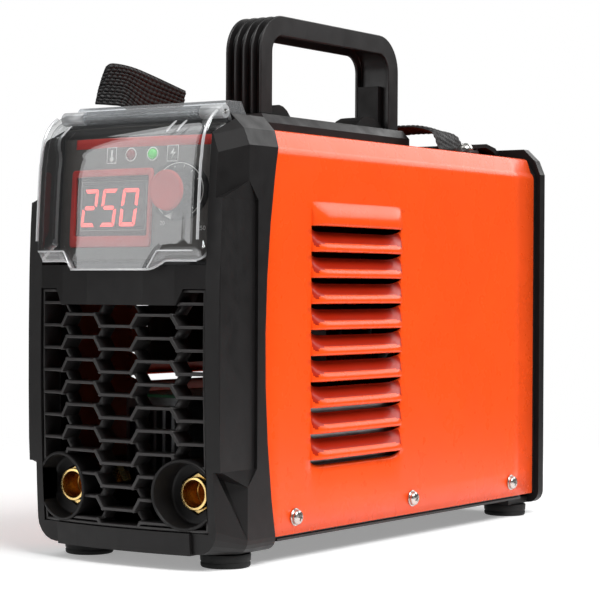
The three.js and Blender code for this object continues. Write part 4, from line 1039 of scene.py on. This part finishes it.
def grille_plate(depth=12.0, edge=0.5):
    """The honeycomb: a filled outline with cell-shaped holes, rounded edges, bent to the bow."""
    half, z0, z1 = 51.0, 18.6, 133.9
    loops = [[(-half, z0), (half, z0), (half, z1), (-half, z1)]]
    for column in range(-2, 3):
        shift = 5.55 if column % 2 == 0 else 0.0
        for row in range(-2, 10):
            z = CELL_TOP - CELL_PITCH_Z * (row + 0.5) - shift
            cell = clipped_hexagon(column * CELL_PITCH_X, z, -half + 1.5, half - 1.5, z0 + 1.5, z1 - 1.5)
            if cell:
                loops.append(cell)
    curve = bpy.data.curves.new("honeycomb", "CURVE")
    curve.dimensions = "2D"
    curve.fill_mode = "BOTH"
    curve.extrude = depth / 2 - edge
    curve.bevel_depth = edge
    curve.bevel_resolution = 2
    curve.offset = -edge
    for loop in loops:
        line = curve.splines.new("POLY")
        line.points.add(len(loop) - 1)
        for point, (x, z) in zip(line.points, loop):
            point.co = (x, z, 0, 1)
        line.use_cyclic_u = True
    source = bpy.data.objects.new("honeycomb", curve)
    bpy.context.scene.collection.objects.link(source)
    graph = bpy.context.evaluated_depsgraph_get()
    graph.update()
    mesh = bpy.data.meshes.new_from_object(source.evaluated_get(graph))
    bpy.data.objects.remove(source)
    verts = [(v.co.x, -v.co.z, v.co.y) for v in mesh.vertices]
    faces = [tuple(p.vertices) for p in mesh.polygons]
    made = piece("honeycomb", verts, faces, GRILLE_BLACK, slot="black_plastic", sharp=40)
    for x in (-SOCKET_X, SOCKET_X):
        v, f = lathe([(16.6, -20), (16.6, 20)], (x, 0, SOCKET_Z), "y", 72)
        cut(made, piece("cutter", v, f, GRILLE_BLACK))
    shield = [(-42.1, 140.0), (-36.0, 126.0), (36.0, 126.0), (42.1, 140.0)]
    v, f = prism(shield, flat, -20, 20)
    cut(made, piece("cutter", v, f, GRILLE_BLACK))
    cut(made, piece("cutter", *set_back_slants(), GRILLE_BLACK))
    bm = bmesh.new()
    bm.from_mesh(made.data)
    for k in range(-9, 10):
        slice_across(bm, (k * 0.0055, 0, 0), (1, 0, 0), 1e-7)
    for vert in bm.verts:
        x, z = vert.co.x * 1000, vert.co.z * 1000
        vert.co.y += (front_y(x, z) + 1.0 + depth / 2) / 1000
    bm.to_mesh(made.data)
    bm.free()
    for polygon in made.data.polygons:
        polygon.use_smooth = True
    made.name = "honeycomb"
    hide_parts("front_grille")
    return made


def hex_radius(angle, apothem):
    sector = (angle + math.pi / 6) % (math.pi / 3) - math.pi / 6
    return apothem / math.cos(sector)


def cup(name, x):
    """A round cup flush with the bow, its floor pierced by a hexagonal hole round the brass."""
    segments = 144
    rows = []

    def row(r, y=None, proud=None, hexagon=None):
        points = []
        for i in range(segments):
            a = 2 * math.pi * i / segments
            radius = hex_radius(a, hexagon) if hexagon else r
            px, pz = x + radius * math.cos(a), SOCKET_Z + radius * math.sin(a)
            px = max(-50.9, min(50.9, px))
            py = front_y(px, pz) + proud if proud is not None else y
            points.append((px, py, pz))
        rows.append(points)

    row(17.1, y=-147.0)
    row(17.1, proud=0.9)
    row(16.95, proud=0.35)
    row(16.55, proud=0.02)
    row(15.95, proud=0.02)
    row(15.6, proud=0.35)
    row(15.5, proud=0.9)
    row(15.1, y=-149.2)
    row(14.7, y=-148.5)
    row(13.9, y=-148.1)
    row(0, y=-148.1, hexagon=9.3)
    row(0, y=-147.8, hexagon=9.0)
    row(0, y=-146.0, hexagon=9.0)
    row(14.0, y=-146.0)
    verts, faces = grid(rows, closed_columns=True, closed_rows=True)
    made = piece(name, verts, faces, BLACK, slot="black_plastic", sharp=40)
    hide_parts(name.replace("cup", "shroud"))


def brass_socket(name, x):
    profile = [
        (0.02, 19.0), (4.0, 19.4), (6.1, 18.2), (6.5, 17.0), (6.5, 12.2), (6.9, 11.9), (6.9, 10.6), (6.5, 10.3),
        (6.5, 0.8), (6.58, 0.25), (6.75, 0.0), (7.65, 0.0), (7.88, 0.1), (8.0, 0.4), (8.0, 3.7),
    ]
    verts, faces = lathe(profile, (x, BRASS_Y, SOCKET_Z), "y", 96)
    faces.pop()  # the face ring stays open, and the hexagon carries on from it
    segments = 96
    rows = []
    shoulder = [  # round or hexagonal ring, its size, and how far in
        ("c", 8.0, 3.7), ("h", 8.35, 3.7), ("h", 8.6, 4.0), ("h", 8.6, 14.0), ("c", 9.6, 14.0),
        ("c", 9.6, 23.0), ("c", 5.0, 23.0), ("c", 5.0, 40.0), ("c", 0.02, 40.0),
    ]
    for kind, r, h in shoulder:
        row = []
        for i in range(segments):
            a = 2 * math.pi * i / segments
            radius = hex_radius(a, r) if kind == "h" else r
            row.append((x + radius * math.cos(a), BRASS_Y + h, SOCKET_Z + radius * math.sin(a)))
        rows.append(row)
    shape = merged((verts, faces), grid(rows, closed_columns=True))
    made = piece(name + "_turned", *shape, BRASS, slot="brass", sharp=30)
    made.data.materials.append(BRASS_BORE_SHADE)
    # painted shade: the faces inside the bore take the darker brass
    for polygon in made.data.polygons:
        away = polygon.center - place(x, BRASS_Y, SOCKET_Z)
        if away.y > 0.0012 and math.hypot(away.x, away.z) < 0.0071:
            polygon.material_index = 1
    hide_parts(name)
    turn = math.radians(-60)
    c, s = math.cos(turn), math.sin(turn)
    key = [(5.1, -1.2), (6.8, -1.2), (6.8, 1.2), (5.1, 1.2)]
    outline = [(x + u * c - v * s, SOCKET_Z + u * s + v * c) for u, v in key]
    made = piece(name + "_key", *prism(outline, flat, BRASS_Y + 7, BRASS_Y + 18), BRASS, slot="brass")
    bevelled(made, 0.3, 2)


grille_plate()
for side, x in (("right", SOCKET_X), ("left", -SOCKET_X)):
    cup("socket_cup_" + side, x)
    brass_socket("dinse_socket_" + side, x)


# ---- Handle grip ---------------------------------------------------------------------------
HANDLE_Y = (-60.7, 75.2)
HANDLE_TOP = 278.8
HANDLE_FOOT = 225.95
HANDLE_CORNER = 20.0
HANDLE_HALF = 11.5


def grip_section():
    """The grip's section as [x, depth]: five ribs outside, an open channel inside."""
    pitch = (2 * HANDLE_HALF - 1.5) / 4
    points = [(-HANDLE_HALF, 10.5), (-HANDLE_HALF, 0.0)]
    for rib in range(4):
        x = -HANDLE_HALF + rib * pitch
        points += [(x + 1.5, 0.0), (x + 1.7, 4.0), (x + pitch - 0.2, 4.0), (x + pitch, 0.0)]
    points += [(HANDLE_HALF, 0.0), (HANDLE_HALF, 10.5), (9.6, 10.5), (9.5, 6.5), (-9.5, 6.5), (-9.6, 10.5)]
    return points


def grip_path():
    """Stations [y, z, inward y, inward z] round the handle from one foot to the other."""
    y0, y1 = HANDLE_Y
    r = HANDLE_CORNER
    stations = [(y0, z, 1, 0) for z in (HANDLE_FOOT, 238, 250)]
    for k in range(13):
        a = math.pi - 0.5 * math.pi * k / 12
        c, s = math.cos(a), math.sin(a)
        stations.append((y0 + r + r * c, HANDLE_TOP - r + r * s, -c, -s))
    for t in (0.25, 0.5, 0.75):
        stations.append((y0 + r + (y1 - y0 - 2 * r) * t, HANDLE_TOP, 0, -1))
    for k in range(13):
        a = 0.5 * math.pi - 0.5 * math.pi * k / 12
        c, s = math.cos(a), math.sin(a)
        stations.append((y1 - r + r * c, HANDLE_TOP - r + r * s, -c, -s))
    return stations + [(y1, z, -1, 0) for z in (250, 238, HANDLE_FOOT)]


def handle_grip():
    section = grip_section()
    rows = [[(x, y + ny * d, z + nz * d) for x, d in section] for y, z, ny, nz in grip_path()]
    verts, faces = grid(rows, closed_columns=True)
    n = len(section)
    faces.append(tuple(range(n)))
    faces.append(tuple((len(rows) - 1) * n + i for i in range(n)))
    made = piece("handle_loop", verts, faces, HANDLE_BLACK, slot="black_plastic", sharp=40)
    bevelled(made, 0.5, 3, 40)
    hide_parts("handle_grip")


handle_grip()


# ---- Carrying strap ------------------------------------------------------------------------
def weave(u, v):
    """Height of the webbing's coarse stitches at a place along and across it."""
    row = v / 2.6
    lane = math.floor(row)
    along = (u + 0.35 * v + (1.7 if lane % 2 else 0.0)) / 3.4
    bump = abs(math.sin(math.pi * along)) ** 0.7 * math.sin(math.pi * (row - lane)) ** 0.6
    return 0.85 * bump


def ribbon(name, surface, length, width, step, thickness=1.0):
    """A closed webbing ribbon round surface(u, v), which gives its middle in drawing points."""
    nu, nv = max(2, round(length / step)), max(2, round(width / step))
    rows = []
    for i in range(nu + 1):
        u = length * i / nu
        top, under = [], []
        for j in range(nv + 1):
            v = width * j / nv
            here = Vector(surface(u, v))
            along = Vector(surface(min(length, u + 0.3), v)) - Vector(surface(max(0, u - 0.3), v))
            across = Vector(surface(u, min(width, v + 0.3))) - Vector(surface(u, max(0, v - 0.3)))
            normal = along.cross(across).normalized()
            edge = max(0.0, 1 - abs(2 * v / width - 1) ** 14) ** 0.5
            half = 0.5 * thickness * edge
            top.append(tuple(here + normal * (half + weave(u, v) * edge)))
            under.append(tuple(here - normal * (half + weave(u + 1.1, v) * edge)))
        rows.append(top + under[::-1])
    n = len(rows[0])
    verts, faces = grid(rows, closed_columns=True)
    faces += [tuple(range(n)), tuple((len(rows) - 1) * n + i for i in range(n))]
    made = piece(name, verts, faces, WEBBING, slot="webbing", sharp=75)
    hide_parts("carry_strap")
    return made


def follow(points, steps=12):
    """A function from distance along a smooth line to a point on it, with the line's length."""
    line = spline(points, steps)
    marks = [0.0]
    for a, b in zip(line, line[1:]):
        marks.append(marks[-1] + math.dist(a, b))

    def at(u):
        k = 0
        while k < len(marks) - 2 and marks[k + 1] < u:
            k += 1
        t = (u - marks[k]) / max(1e-6, marks[k + 1] - marks[k])
        return tuple(a + (b - a) * t for a, b in zip(line[k], line[k + 1]))

    return at, marks[-1]


def carry_strap():
    lower, low_length = follow([
        (-39.5, -133.2, 227.2), (-35.0, -127.0, 227.0), (-31.2, -121.0, 226.2), (-29.8, -114.0, 221.0),
        (-29.3, -105.0, 216.3), (-29.2, -92.0, 215.6), (-29.1, -77.0, 215.5),
    ])
    upper, high_length = follow([
        (-32.5, -133.4, 246.0), (-30.2, -130.9, 247.7), (-29.3, -117.4, 247.2), (-29.1, -101.1, 244.5),
        (-29.1, -72.6, 238.7),
    ])

    def standing(u, v):
        a, b = lower(u / 62.0 * low_length), upper(u / 62.0 * high_length)
        t = v / 32.0
        swell = 0.8 * math.sin(math.pi * t)
        return (a[0] + (b[0] - a[0]) * t - swell, a[1] + (b[1] - a[1]) * t, a[2] + (b[2] - a[2]) * t)

    ribbon("strap_standing", standing, 62.0, 32.0, 0.4)

    def lying(u, v):
        return (-49.3 + v, -108.2 + u, 214.0 + 0.12 * math.sin(u / 11.0))

    ribbon("strap_lying", lying, 192.0, 29.6, 0.72)
    arch, arch_length = follow([
        (-49.0, 216.0), (-44.0, 218.4), (-31.0, 223.0), (-15.0, 226.2), (0.0, 227.7), (12.0, 227.9), (21.0, 227.4),
        (30.0, 225.0), (33.3, 221.6), (35.2, 216.6), (37.6, 214.2), (46.3, 213.9),
    ])

    def crossing(u, v):
        x, z = arch(u)
        lift = max(0.0, min(1.0, (z - 216) / 10))
        return (x, 80.2 + v, z + lift * (0.55 * math.sin(v / 5.2 + 0.6) - 0.02 * v))

    ribbon("strap_crossing", crossing, arch_length, 28.0, 0.6)


carry_strap()


# ---- Fasteners and feet --------------------------------------------------------------------
def points_of(made):
    """The drawing-frame points and faces of a working piece, which is then removed."""
    verts = [(v.co.x * 1000, v.co.y * 1000 - SHIFT, v.co.z * 1000) for v in made.data.vertices]
    faces = [tuple(p.vertices) for p in made.data.polygons]
    bpy.data.objects.remove(made)
    return verts, faces


def screw_template():
    """A cross-head screw with its washer, along +X from the outer face of the sheet."""
    head = [
        (0.02, -5.0), (1.9, -5.0), (1.9, 0.0), (4.2, 0.0), (4.4, 0.15), (4.4, 0.6), (4.2, 0.8), (3.5, 0.8),
        (3.68, 1.0), (3.7, 1.5), (3.55, 2.2), (3.1, 2.75), (2.3, 3.15), (1.2, 3.35), (0.02, 3.4),
    ]
    made = piece("screw", *lathe(head, (0, 0, 0), "x", 40), ZINC, sharp=30)
    for turn in (0, 90):
        c, s = math.cos(math.radians(turn + 20)), math.sin(math.radians(turn + 20))
        verts = []
        for h, long, wide in ((1.7, 1.1, 0.3), (4.2, 2.5, 0.62)):
            for u, v in ((-long, -wide), (long, -wide), (long, wide), (-long, wide)):
                verts.append((h, u * c - v * s, u * s + v * c))
        faces = [(0, 1, 2, 3), (7, 6, 5, 4), (0, 4, 5, 1), (1, 5, 6, 2), (2, 6, 7, 3), (3, 7, 4, 0)]
        cut(made, piece("cutter", verts, faces, ZINC))
    return points_of(made)


def side_screws():
    verts, faces = screw_template()
    for side, side_name in ((1, "right"), (-1, "left")):
        for y, y_name in ((-95, "front"), (16, "middle"), (127, "rear")):
            turn = 0.8 * y
            c, s = math.cos(turn), math.sin(turn)
            moved = [(side * (58.3 + h), y + u * c - v * s, 21.6 + u * s + v * c) for h, u, v in verts]
            name = f"screw_{side_name}_{y_name}"
            made = piece(name, moved, faces, ZINC, slot="steel", sharp=30)
            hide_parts(f"side_screw_{side_name}_{y_name}")


def strap_screws():
    dome = [
        (0.02, -2.2), (1.9, -2.2), (1.9, 0.0), (4.5, 0.0), (4.62, 0.2), (4.6, 0.8), (4.35, 1.6), (3.8, 2.5),
        (2.9, 3.3), (1.7, 3.9), (0.02, 4.1),
    ]
    for name, x, y in (("front", -40, -88), ("rear", 41.8, 100)):
        shape = lathe(dome, (x, y, 215.05), "z", 48)
        made = piece("strap_button_" + name, *shape, ZINC, slot="steel", sharp=40)
        slot = box(x - 0.6, x + 0.6, y - 3.1, y + 3.1, 217.8, 222)
        cut(made, piece("cutter", *slot, ZINC))
        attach(made, "chassis")
        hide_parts("strap_screw_" + name)


def feet():
    profile = [
        (0.02, 2.4), (3.3, 2.4), (3.6, 2.1), (3.6, 0.6), (4.1, 0.0), (10.9, 0.0), (11.6, 0.2), (12.1, 0.8),
        (12.2, 2.2), (11.9, 2.5), (11.9, 3.0), (12.25, 3.3), (12.45, 5.9), (12.2, 6.6), (0.02, 6.65),
    ]
    for x, x_name in ((-43, "left"), (43, "right")):
        for y, y_name in ((-132, "front"), (148, "rear")):
            shape = lathe(profile, (x, y, 0), "z", 64)
            made = piece(f"rubber_{y_name}_{x_name}", *shape, RUBBER, slot="rubber", sharp=50)
            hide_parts(f"foot_{y_name}_{x_name}")


side_screws()
strap_screws()
feet()


# ---- Back: fan, guard, switch, gland -------------------------------------------------------
FAN_Z = 84.0


def fan_rotor():
    hub = [
        (0.02, 138.6), (1.6, 138.6), (1.6, 143.5), (18.8, 143.5), (19.5, 144.2), (19.5, 161.4), (19.0, 162.4),
        (17.6, 163.0), (12.0, 163.0), (11.5, 162.5), (0.02, 162.5),
    ]
    shape = lathe(hub, (0, 0, FAN_Z), "y", 64)
    made = piece("fan_hub", *shape, BLACK, body="fan", slot="black_plastic", sharp=40)
    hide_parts("fan_rotor")
    parts = []
    for blade in range(7):
        rows = []
        for i in range(13):
            r = 18.8 + (41.3 - 18.8) * i / 12
            pitch = math.radians(46 - 14 * i / 12)
            chord = 9.0 + 3.2 * math.sin(math.pi * 0.5 * i / 12)
            row = []
            for j in range(13):
                s = j / 6 - 1
                tangent = s * chord * math.cos(pitch)
                axial = -s * chord * math.sin(pitch) + 1.3 * (1 - s * s)
                a = 2 * math.pi * blade / 7 - (tangent + 0.1 * (r - 19)) / r
                row.append((r * math.cos(a), 152.6 + axial, FAN_Z - r * math.sin(a)))
            rows.append(row)
        parts.append(grid(rows))
    made = piece("fan_blades", *merged(*parts), BLACK, body="fan", slot="black_plastic", sharp=50)
    wall = made.modifiers.new("Wall", "SOLIDIFY")
    wall.thickness = 0.0014
    wall.offset = 0
    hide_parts("fan_rotor")


def wire_ring(radius, y, z, wire=1.0, segments=96):
    turns = [2 * math.pi * k / 12 for k in range(12)]
    section = [(radius + wire * math.cos(a), y + wire * math.sin(a)) for a in turns]
    return lathe(section, (0, 0, z), "y", segments, True)


def fan_guard():
    parts = [wire_ring(r, 170.4, FAN_Z) for r in (12.5, 20.5, 28.5, 36.5, 44.4)]
    for turn in (45, 135, 225, 315):
        a = math.radians(turn)
        c, s = math.cos(a), math.sin(a)
        rows = []
        for r in (11.6, 20.0, 30.0, 40.0, 50.0, 51.5):
            row = []
            for k in range(12):
                b = 2 * math.pi * k / 12
                side = math.cos(b)
                row.append((r * c - side * s, 170.4 + math.sin(b), FAN_Z + r * s + side * c))
            rows.append(row)
        verts, faces = grid(rows, closed_columns=True)
        faces += [tuple(range(12)), tuple(60 + k for k in range(12))]
        parts.append((verts, faces))
        turns = [2 * math.pi * k / 12 for k in range(12)]
        eye = [(3.6 + 1.0 * math.cos(a), 170.4 + 1.0 * math.sin(a)) for a in turns]
        parts.append(lathe(eye, (54.6 * c, 0, FAN_Z + 54.6 * s), "y", 40, True))
    made = piece("guard_wires", *merged(*parts), BLACK_COAT, slot="black_paint", sharp=60)
    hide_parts("fan_guard")


def rocker():
    pivot_y, pivot_z, tilt = 165.8, 176.0, math.radians(8)

    def turned(y, z):
        c, s = math.cos(tilt), math.sin(tilt)
        return (pivot_y + y * c - z * s, pivot_z + y * s + z * c)

    outline = [(-3.3, -3.0), (3.8, -11.4)]
    for k in range(13):
        z = -11.2 + 22.4 * k / 12
        outline.append((4.4 + 1.4 * (z / 11.2) ** 2, z))
    outline += [(3.8, 11.4), (-3.3, 3.0)]
    points = [turned(y, z) for y, z in outline]
    n = len(points)
    verts = [(24 - 7.8, y, z) for y, z in points] + [(24 + 7.8, y, z) for y, z in points]
    faces = [tuple(range(n)), tuple(range(2 * n - 1, n - 1, -1))]
    faces += [(i, (i + 1) % n, n + (i + 1) % n, n + i) for i in range(n)]
    made = piece("rocker_cap", verts, faces, RED, body="rocker", slot="red_plastic", sharp=25)
    bevelled(made, 0.5, 3, 35)
    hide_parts("rocker_button")
    marks = []
    for k in range(28):
        a, b = 2 * math.pi * k / 28, 2 * math.pi * (k + 1) / 28
        corners = ((1.6, a), (2.1, a), (2.1, b), (1.6, b))
        marks.append([(r * math.cos(t), -6.2 + r * math.sin(t)) for r, t in corners])
    marks.append([(-0.28, 4.2), (0.28, 4.2), (0.28, 8.2), (-0.28, 8.2)])
    parts = []
    for loop in marks:
        front, back = [], []
        for px, pz in loop:
            depth = 4.4 + 1.4 * (pz / 11.2) ** 2
            for lift, target in ((0.08, front), (-0.2, back)):
                y, z = turned(depth + lift, pz)
                target.append((24 + px, y, z))
        verts = front + back
        parts.append((verts, BOX_FACES))
    piece("rocker_marks", *merged(*parts), WHITE_PRINT, body="rocker", slot="label", sharp=40)


def cable_gland():
    segments = 96
    rows = []
    x, z = -26.0, 172.0
    stations = [
        ("hole", 3.8, -14), ("round", 7.9, -14), ("round", 7.9, 0.3), ("hex", 9.4, 0.3), ("hex", 9.6, 0.6),
        ("hex", 9.6, 5.6), ("hex", 9.3, 6.0), ("rib", 8.9, 6.1), ("rib", 8.9, 9.0), ("rib", 8.0, 11.0),
        ("round", 6.2, 11.9), ("round", 4.4, 12.0), ("hole", 3.8, 11.4),
    ]
    for kind, r, h in stations:
        row = []
        for i in range(segments):
            a = 2 * math.pi * i / segments
            radius = hex_radius(a, r) if kind == "hex" else r
            if kind == "rib":
                radius -= 0.28 * (0.5 + 0.5 * math.cos(16 * a))
            row.append((x + radius * math.cos(a), 169 + h, z + radius * math.sin(a)))
        rows.append(row)
    verts, faces = grid(rows, closed_rows=True, closed_columns=True)
    made = piece("gland_body", verts, faces, BLACK, slot="black_plastic", sharp=32)
    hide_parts("cable_gland")


# ---- Inside --------------------------------------------------------------------------------
def capacitors():
    profile = [
        (0.02, 0.0), (12.2, 0.0), (12.8, 0.5), (12.95, 1.3), (12.95, 3.0), (12.4, 3.6), (12.4, 4.4), (12.95, 5.0),
        (12.95, 43.6), (12.6, 44.6), (11.8, 45.0), (11.2, 44.6), (0.02, 44.5),
    ]
    for index in range(4):
        x = -33.0 if index % 2 == 0 else 33.0
        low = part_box(f"bulk_capacitor_{index + 1}")[0]
        y = low.y * 1000 - SHIFT + 13.0
        shape = lathe(profile, (x, y, 79.95), "z", 56)
        made = piece(f"capacitor_can_{index + 1}", *shape, SLEEVE, slot="capacitor_sleeve", sharp=40)
        for turn in (0, 60, 120):
            c, s = math.cos(math.radians(turn)), math.sin(math.radians(turn))
            verts = []
            for h in (44.15, 46.0):
                for u, v in ((-9, -0.25), (9, -0.25), (9, 0.25), (-9, 0.25)):
                    verts.append((x + u * c - v * s, y + u * s + v * c, 79.95 + h))
            cut(made, piece("cutter", verts, BOX_FACES, ALUMINIUM))
        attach(made, "chassis")
        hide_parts(f"bulk_capacitor_{index + 1}")


def rounded_loop(x0, x1, y0, y1, r, count=8):
    corners = [(x1 - r, y1 - r), (x0 + r, y1 - r), (x0 + r, y0 + r), (x1 - r, y0 + r)]
    loop = []
    for k, (x, y) in enumerate(corners):
        loop += arc(x, y, r, 90 * k, 90 * k + 90, count)
    return loop


def windings():
    turns, z0, z1 = 11, 88.5, 107.5
    rows = []
    steps = turns * 6
    for k in range(steps + 1):
        ridge = 0.75 * abs(math.sin(math.pi * turns * k / steps))
        out = ridge - 0.75
        loop = rounded_loop(-12.3 - out, 12.3 + out, -69.9 - out, -8.1 + out, 6)
        rows.append([(x, y, z0 + (z1 - z0) * k / steps) for x, y in loop])
    rows.append([(x, y, z1) for x, y in rounded_loop(-5.5, 5.5, -64.5, -13.5, 0.8)])
    rows.append([(x, y, z0) for x, y in rounded_loop(-5.5, 5.5, -64.5, -13.5, 0.8)])
    verts, faces = grid(rows, closed_rows=True, closed_columns=True)
    made = piece("coil_turns", verts, faces, COPPER, slot="copper", sharp=70)
    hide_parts("transformer_winding")
    rows = []
    for i in range(288):
        a = 2 * math.pi * i / 288
        ridge = abs(math.sin(24 * a))
        row = []
        for k in range(24):
            b = 2 * math.pi * k / 24
            u, v = math.cos(b), math.sin(b)
            square = (abs(u) ** 4 + abs(v) ** 4) ** -0.25
            swell = 0.9 + 0.1 * ridge
            r, h = 15.5 + 6.4 * u * square * swell, 9.0 + 8.9 * v * square * swell
            row.append((r * math.cos(a), 24 + r * math.sin(a), 79.95 + h))
        rows.append(row)
    verts, faces = grid(rows, closed_rows=True, closed_columns=True)
    made = piece("choke_turns", verts, faces, COPPER, slot="copper", sharp=70)
    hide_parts("output_choke")


fan_rotor()
fan_guard()
rocker()
cable_gland()
def shade_sheet():
    """A dark sheet inside the left wall, over most of its louvres, put there as painted shade: it keeps light from
    showing through them.
    """
    rows = []
    for k in range(9):
        z = 94 + 10 * k
        rows.append([(-52.2 + 0.7 * math.sin(0.11 * y + 0.6 * k), y, z) for y in range(-74, 14, 4)])
    made = piece("shade_sheet", *grid(rows), SHADE_SHEET_BLACK, slot="circuit_board", sharp=60)
    wall = made.modifiers.new("Wall", "SOLIDIFY")
    wall.thickness = 0.0005
    wall.offset = 0


capacitors()
windings()
shade_sheet()


# ---- Camera and light ----------------------------------------------------------------------
YAW = math.radians(34.5)
PITCH = math.radians(0.37)
ROLL = math.radians(0.299)


def camera_axes():
    forward = Vector(
        (-math.sin(YAW) * math.cos(PITCH), math.cos(YAW) * math.cos(PITCH), -math.sin(PITCH))
    )
    right = Vector((math.cos(YAW), math.sin(YAW), 0))
    up = right.cross(forward)
    across = right * math.cos(ROLL) + up * math.sin(ROLL)
    upright = up * math.cos(ROLL) - right * math.sin(ROLL)
    return across, upright, -forward


def add_camera():
    data = bpy.data.cameras.new("camera")
    data.lens = 120.5
    data.sensor_width = 36
    data.clip_end = 50
    camera = bpy.data.objects.new("camera", data)
    bpy.context.scene.collection.objects.link(camera)
    axes = camera_axes()
    turn = Matrix([[axes[c][r] for c in range(3)] for r in range(3)]).to_4x4()
    camera.matrix_world = Matrix.Translation(place(622.14, -912.18, 135.35)) @ turn
    bpy.context.scene.camera = camera


def area_light(name, azimuth, elevation, distance, size, power, target=(0, 0, 0.12), colour=(1, 1, 1)):
    a, e = math.radians(azimuth), math.radians(elevation)
    out = Vector((math.sin(a) * math.cos(e), -math.cos(a) * math.cos(e), math.sin(e)))
    data = bpy.data.lights.new(name, "AREA")
    data.shape = "RECTANGLE"
    data.size, data.size_y = size
    data.energy = power
    data.color = colour
    lamp = bpy.data.objects.new(name, data)
    bpy.context.scene.collection.objects.link(lamp)
    lamp.matrix_world = Matrix.Translation(Vector(target) + out * distance) @ out.to_track_quat(
        "Z", "Y"
    ).to_matrix().to_4x4()


def add_floor():
    verts = [(-2000, -2000, 0), (2000, -2000, 0), (2000, 2000, 0), (-2000, 2000, 0)]
    mesh = bpy.data.meshes.new("floor")
    mesh.from_pydata([Vector(v) / 1000 for v in verts], [], [(0, 1, 2, 3)])
    floor = bpy.data.objects.new("floor", mesh)
    bpy.context.scene.collection.objects.link(floor)
    s = Shader("floor", Roughness=0.7, Specular_IOR_Level=0.1)
    s.bsdf.inputs["Emission Color"].default_value = (1, 1, 1, 1)
    s.bsdf.inputs["Emission Strength"].default_value = 0.3
    tint = s.ramp(s.noise(3, 3), [(0.3, (0.88, 0.88, 0.88)), (0.7, (0.9, 0.9, 0.9))])
    s.finish(tint)
    reach = s.node("VectorMath", operation="LENGTH")
    s.link(s.coords.outputs["Object"], reach.inputs[0])
    fade = s.node("MapRange", interpolation_type="SMOOTHSTEP")
    fade.inputs["From Min"].default_value = 0.25
    fade.inputs["From Max"].default_value = 0.75
    s.link(reach.outputs["Value"], fade.inputs["Value"])
    clear = s.node("BsdfTransparent")
    mix = s.node("MixShader")
    s.link(fade.outputs["Result"], mix.inputs[0])
    s.link(s.bsdf.outputs[0], mix.inputs[1])
    s.link(clear.outputs[0], mix.inputs[2])
    s.link(mix.outputs[0], s.nodes["Material Output"].inputs["Surface"])
    mesh.materials.append(s.material)


def add_world():
    """White behind the object, a dimmer white as its light."""
    world = bpy.data.worlds.new("studio")
    world.use_nodes = True
    nodes, links = world.node_tree.nodes, world.node_tree.links
    lit = nodes["Background"]
    lit.inputs["Color"].default_value = (1, 1, 1, 1)
    lit.inputs["Strength"].default_value = 0.085
    seen = nodes.new("ShaderNodeBackground")
    seen.inputs["Color"].default_value = (1, 1, 1, 1)
    seen.inputs["Strength"].default_value = 1.0
    path = nodes.new("ShaderNodeLightPath")
    mix = nodes.new("ShaderNodeMixShader")
    links.new(path.outputs["Is Camera Ray"], mix.inputs[0])
    links.new(lit.outputs[0], mix.inputs[1])
    links.new(seen.outputs[0], mix.inputs[2])
    links.new(mix.outputs[0], nodes["World Output"].inputs["Surface"])
    bpy.context.scene.world = world
    bpy.context.scene.view_settings.view_transform = "Standard"


add_camera()
add_floor()
add_world()
area_light("side_box", 72, 48, 1.8, (1.2, 0.9), 32)
area_light("front_box", -34, 20, 1.7, (1.08, 1.8), 9.5, (0, -0.17, 0.18))
area_light("sweep_box", -36, 56, 1.5, (1.2, 0.4), 3, (0, -0.17, 0.2))
area_light("top_box", 20, 80, 1.6, (1.4, 1.4), 3.5)
area_light("back_box", 165, 32, 1.8, (1.8, 0.9), 15)
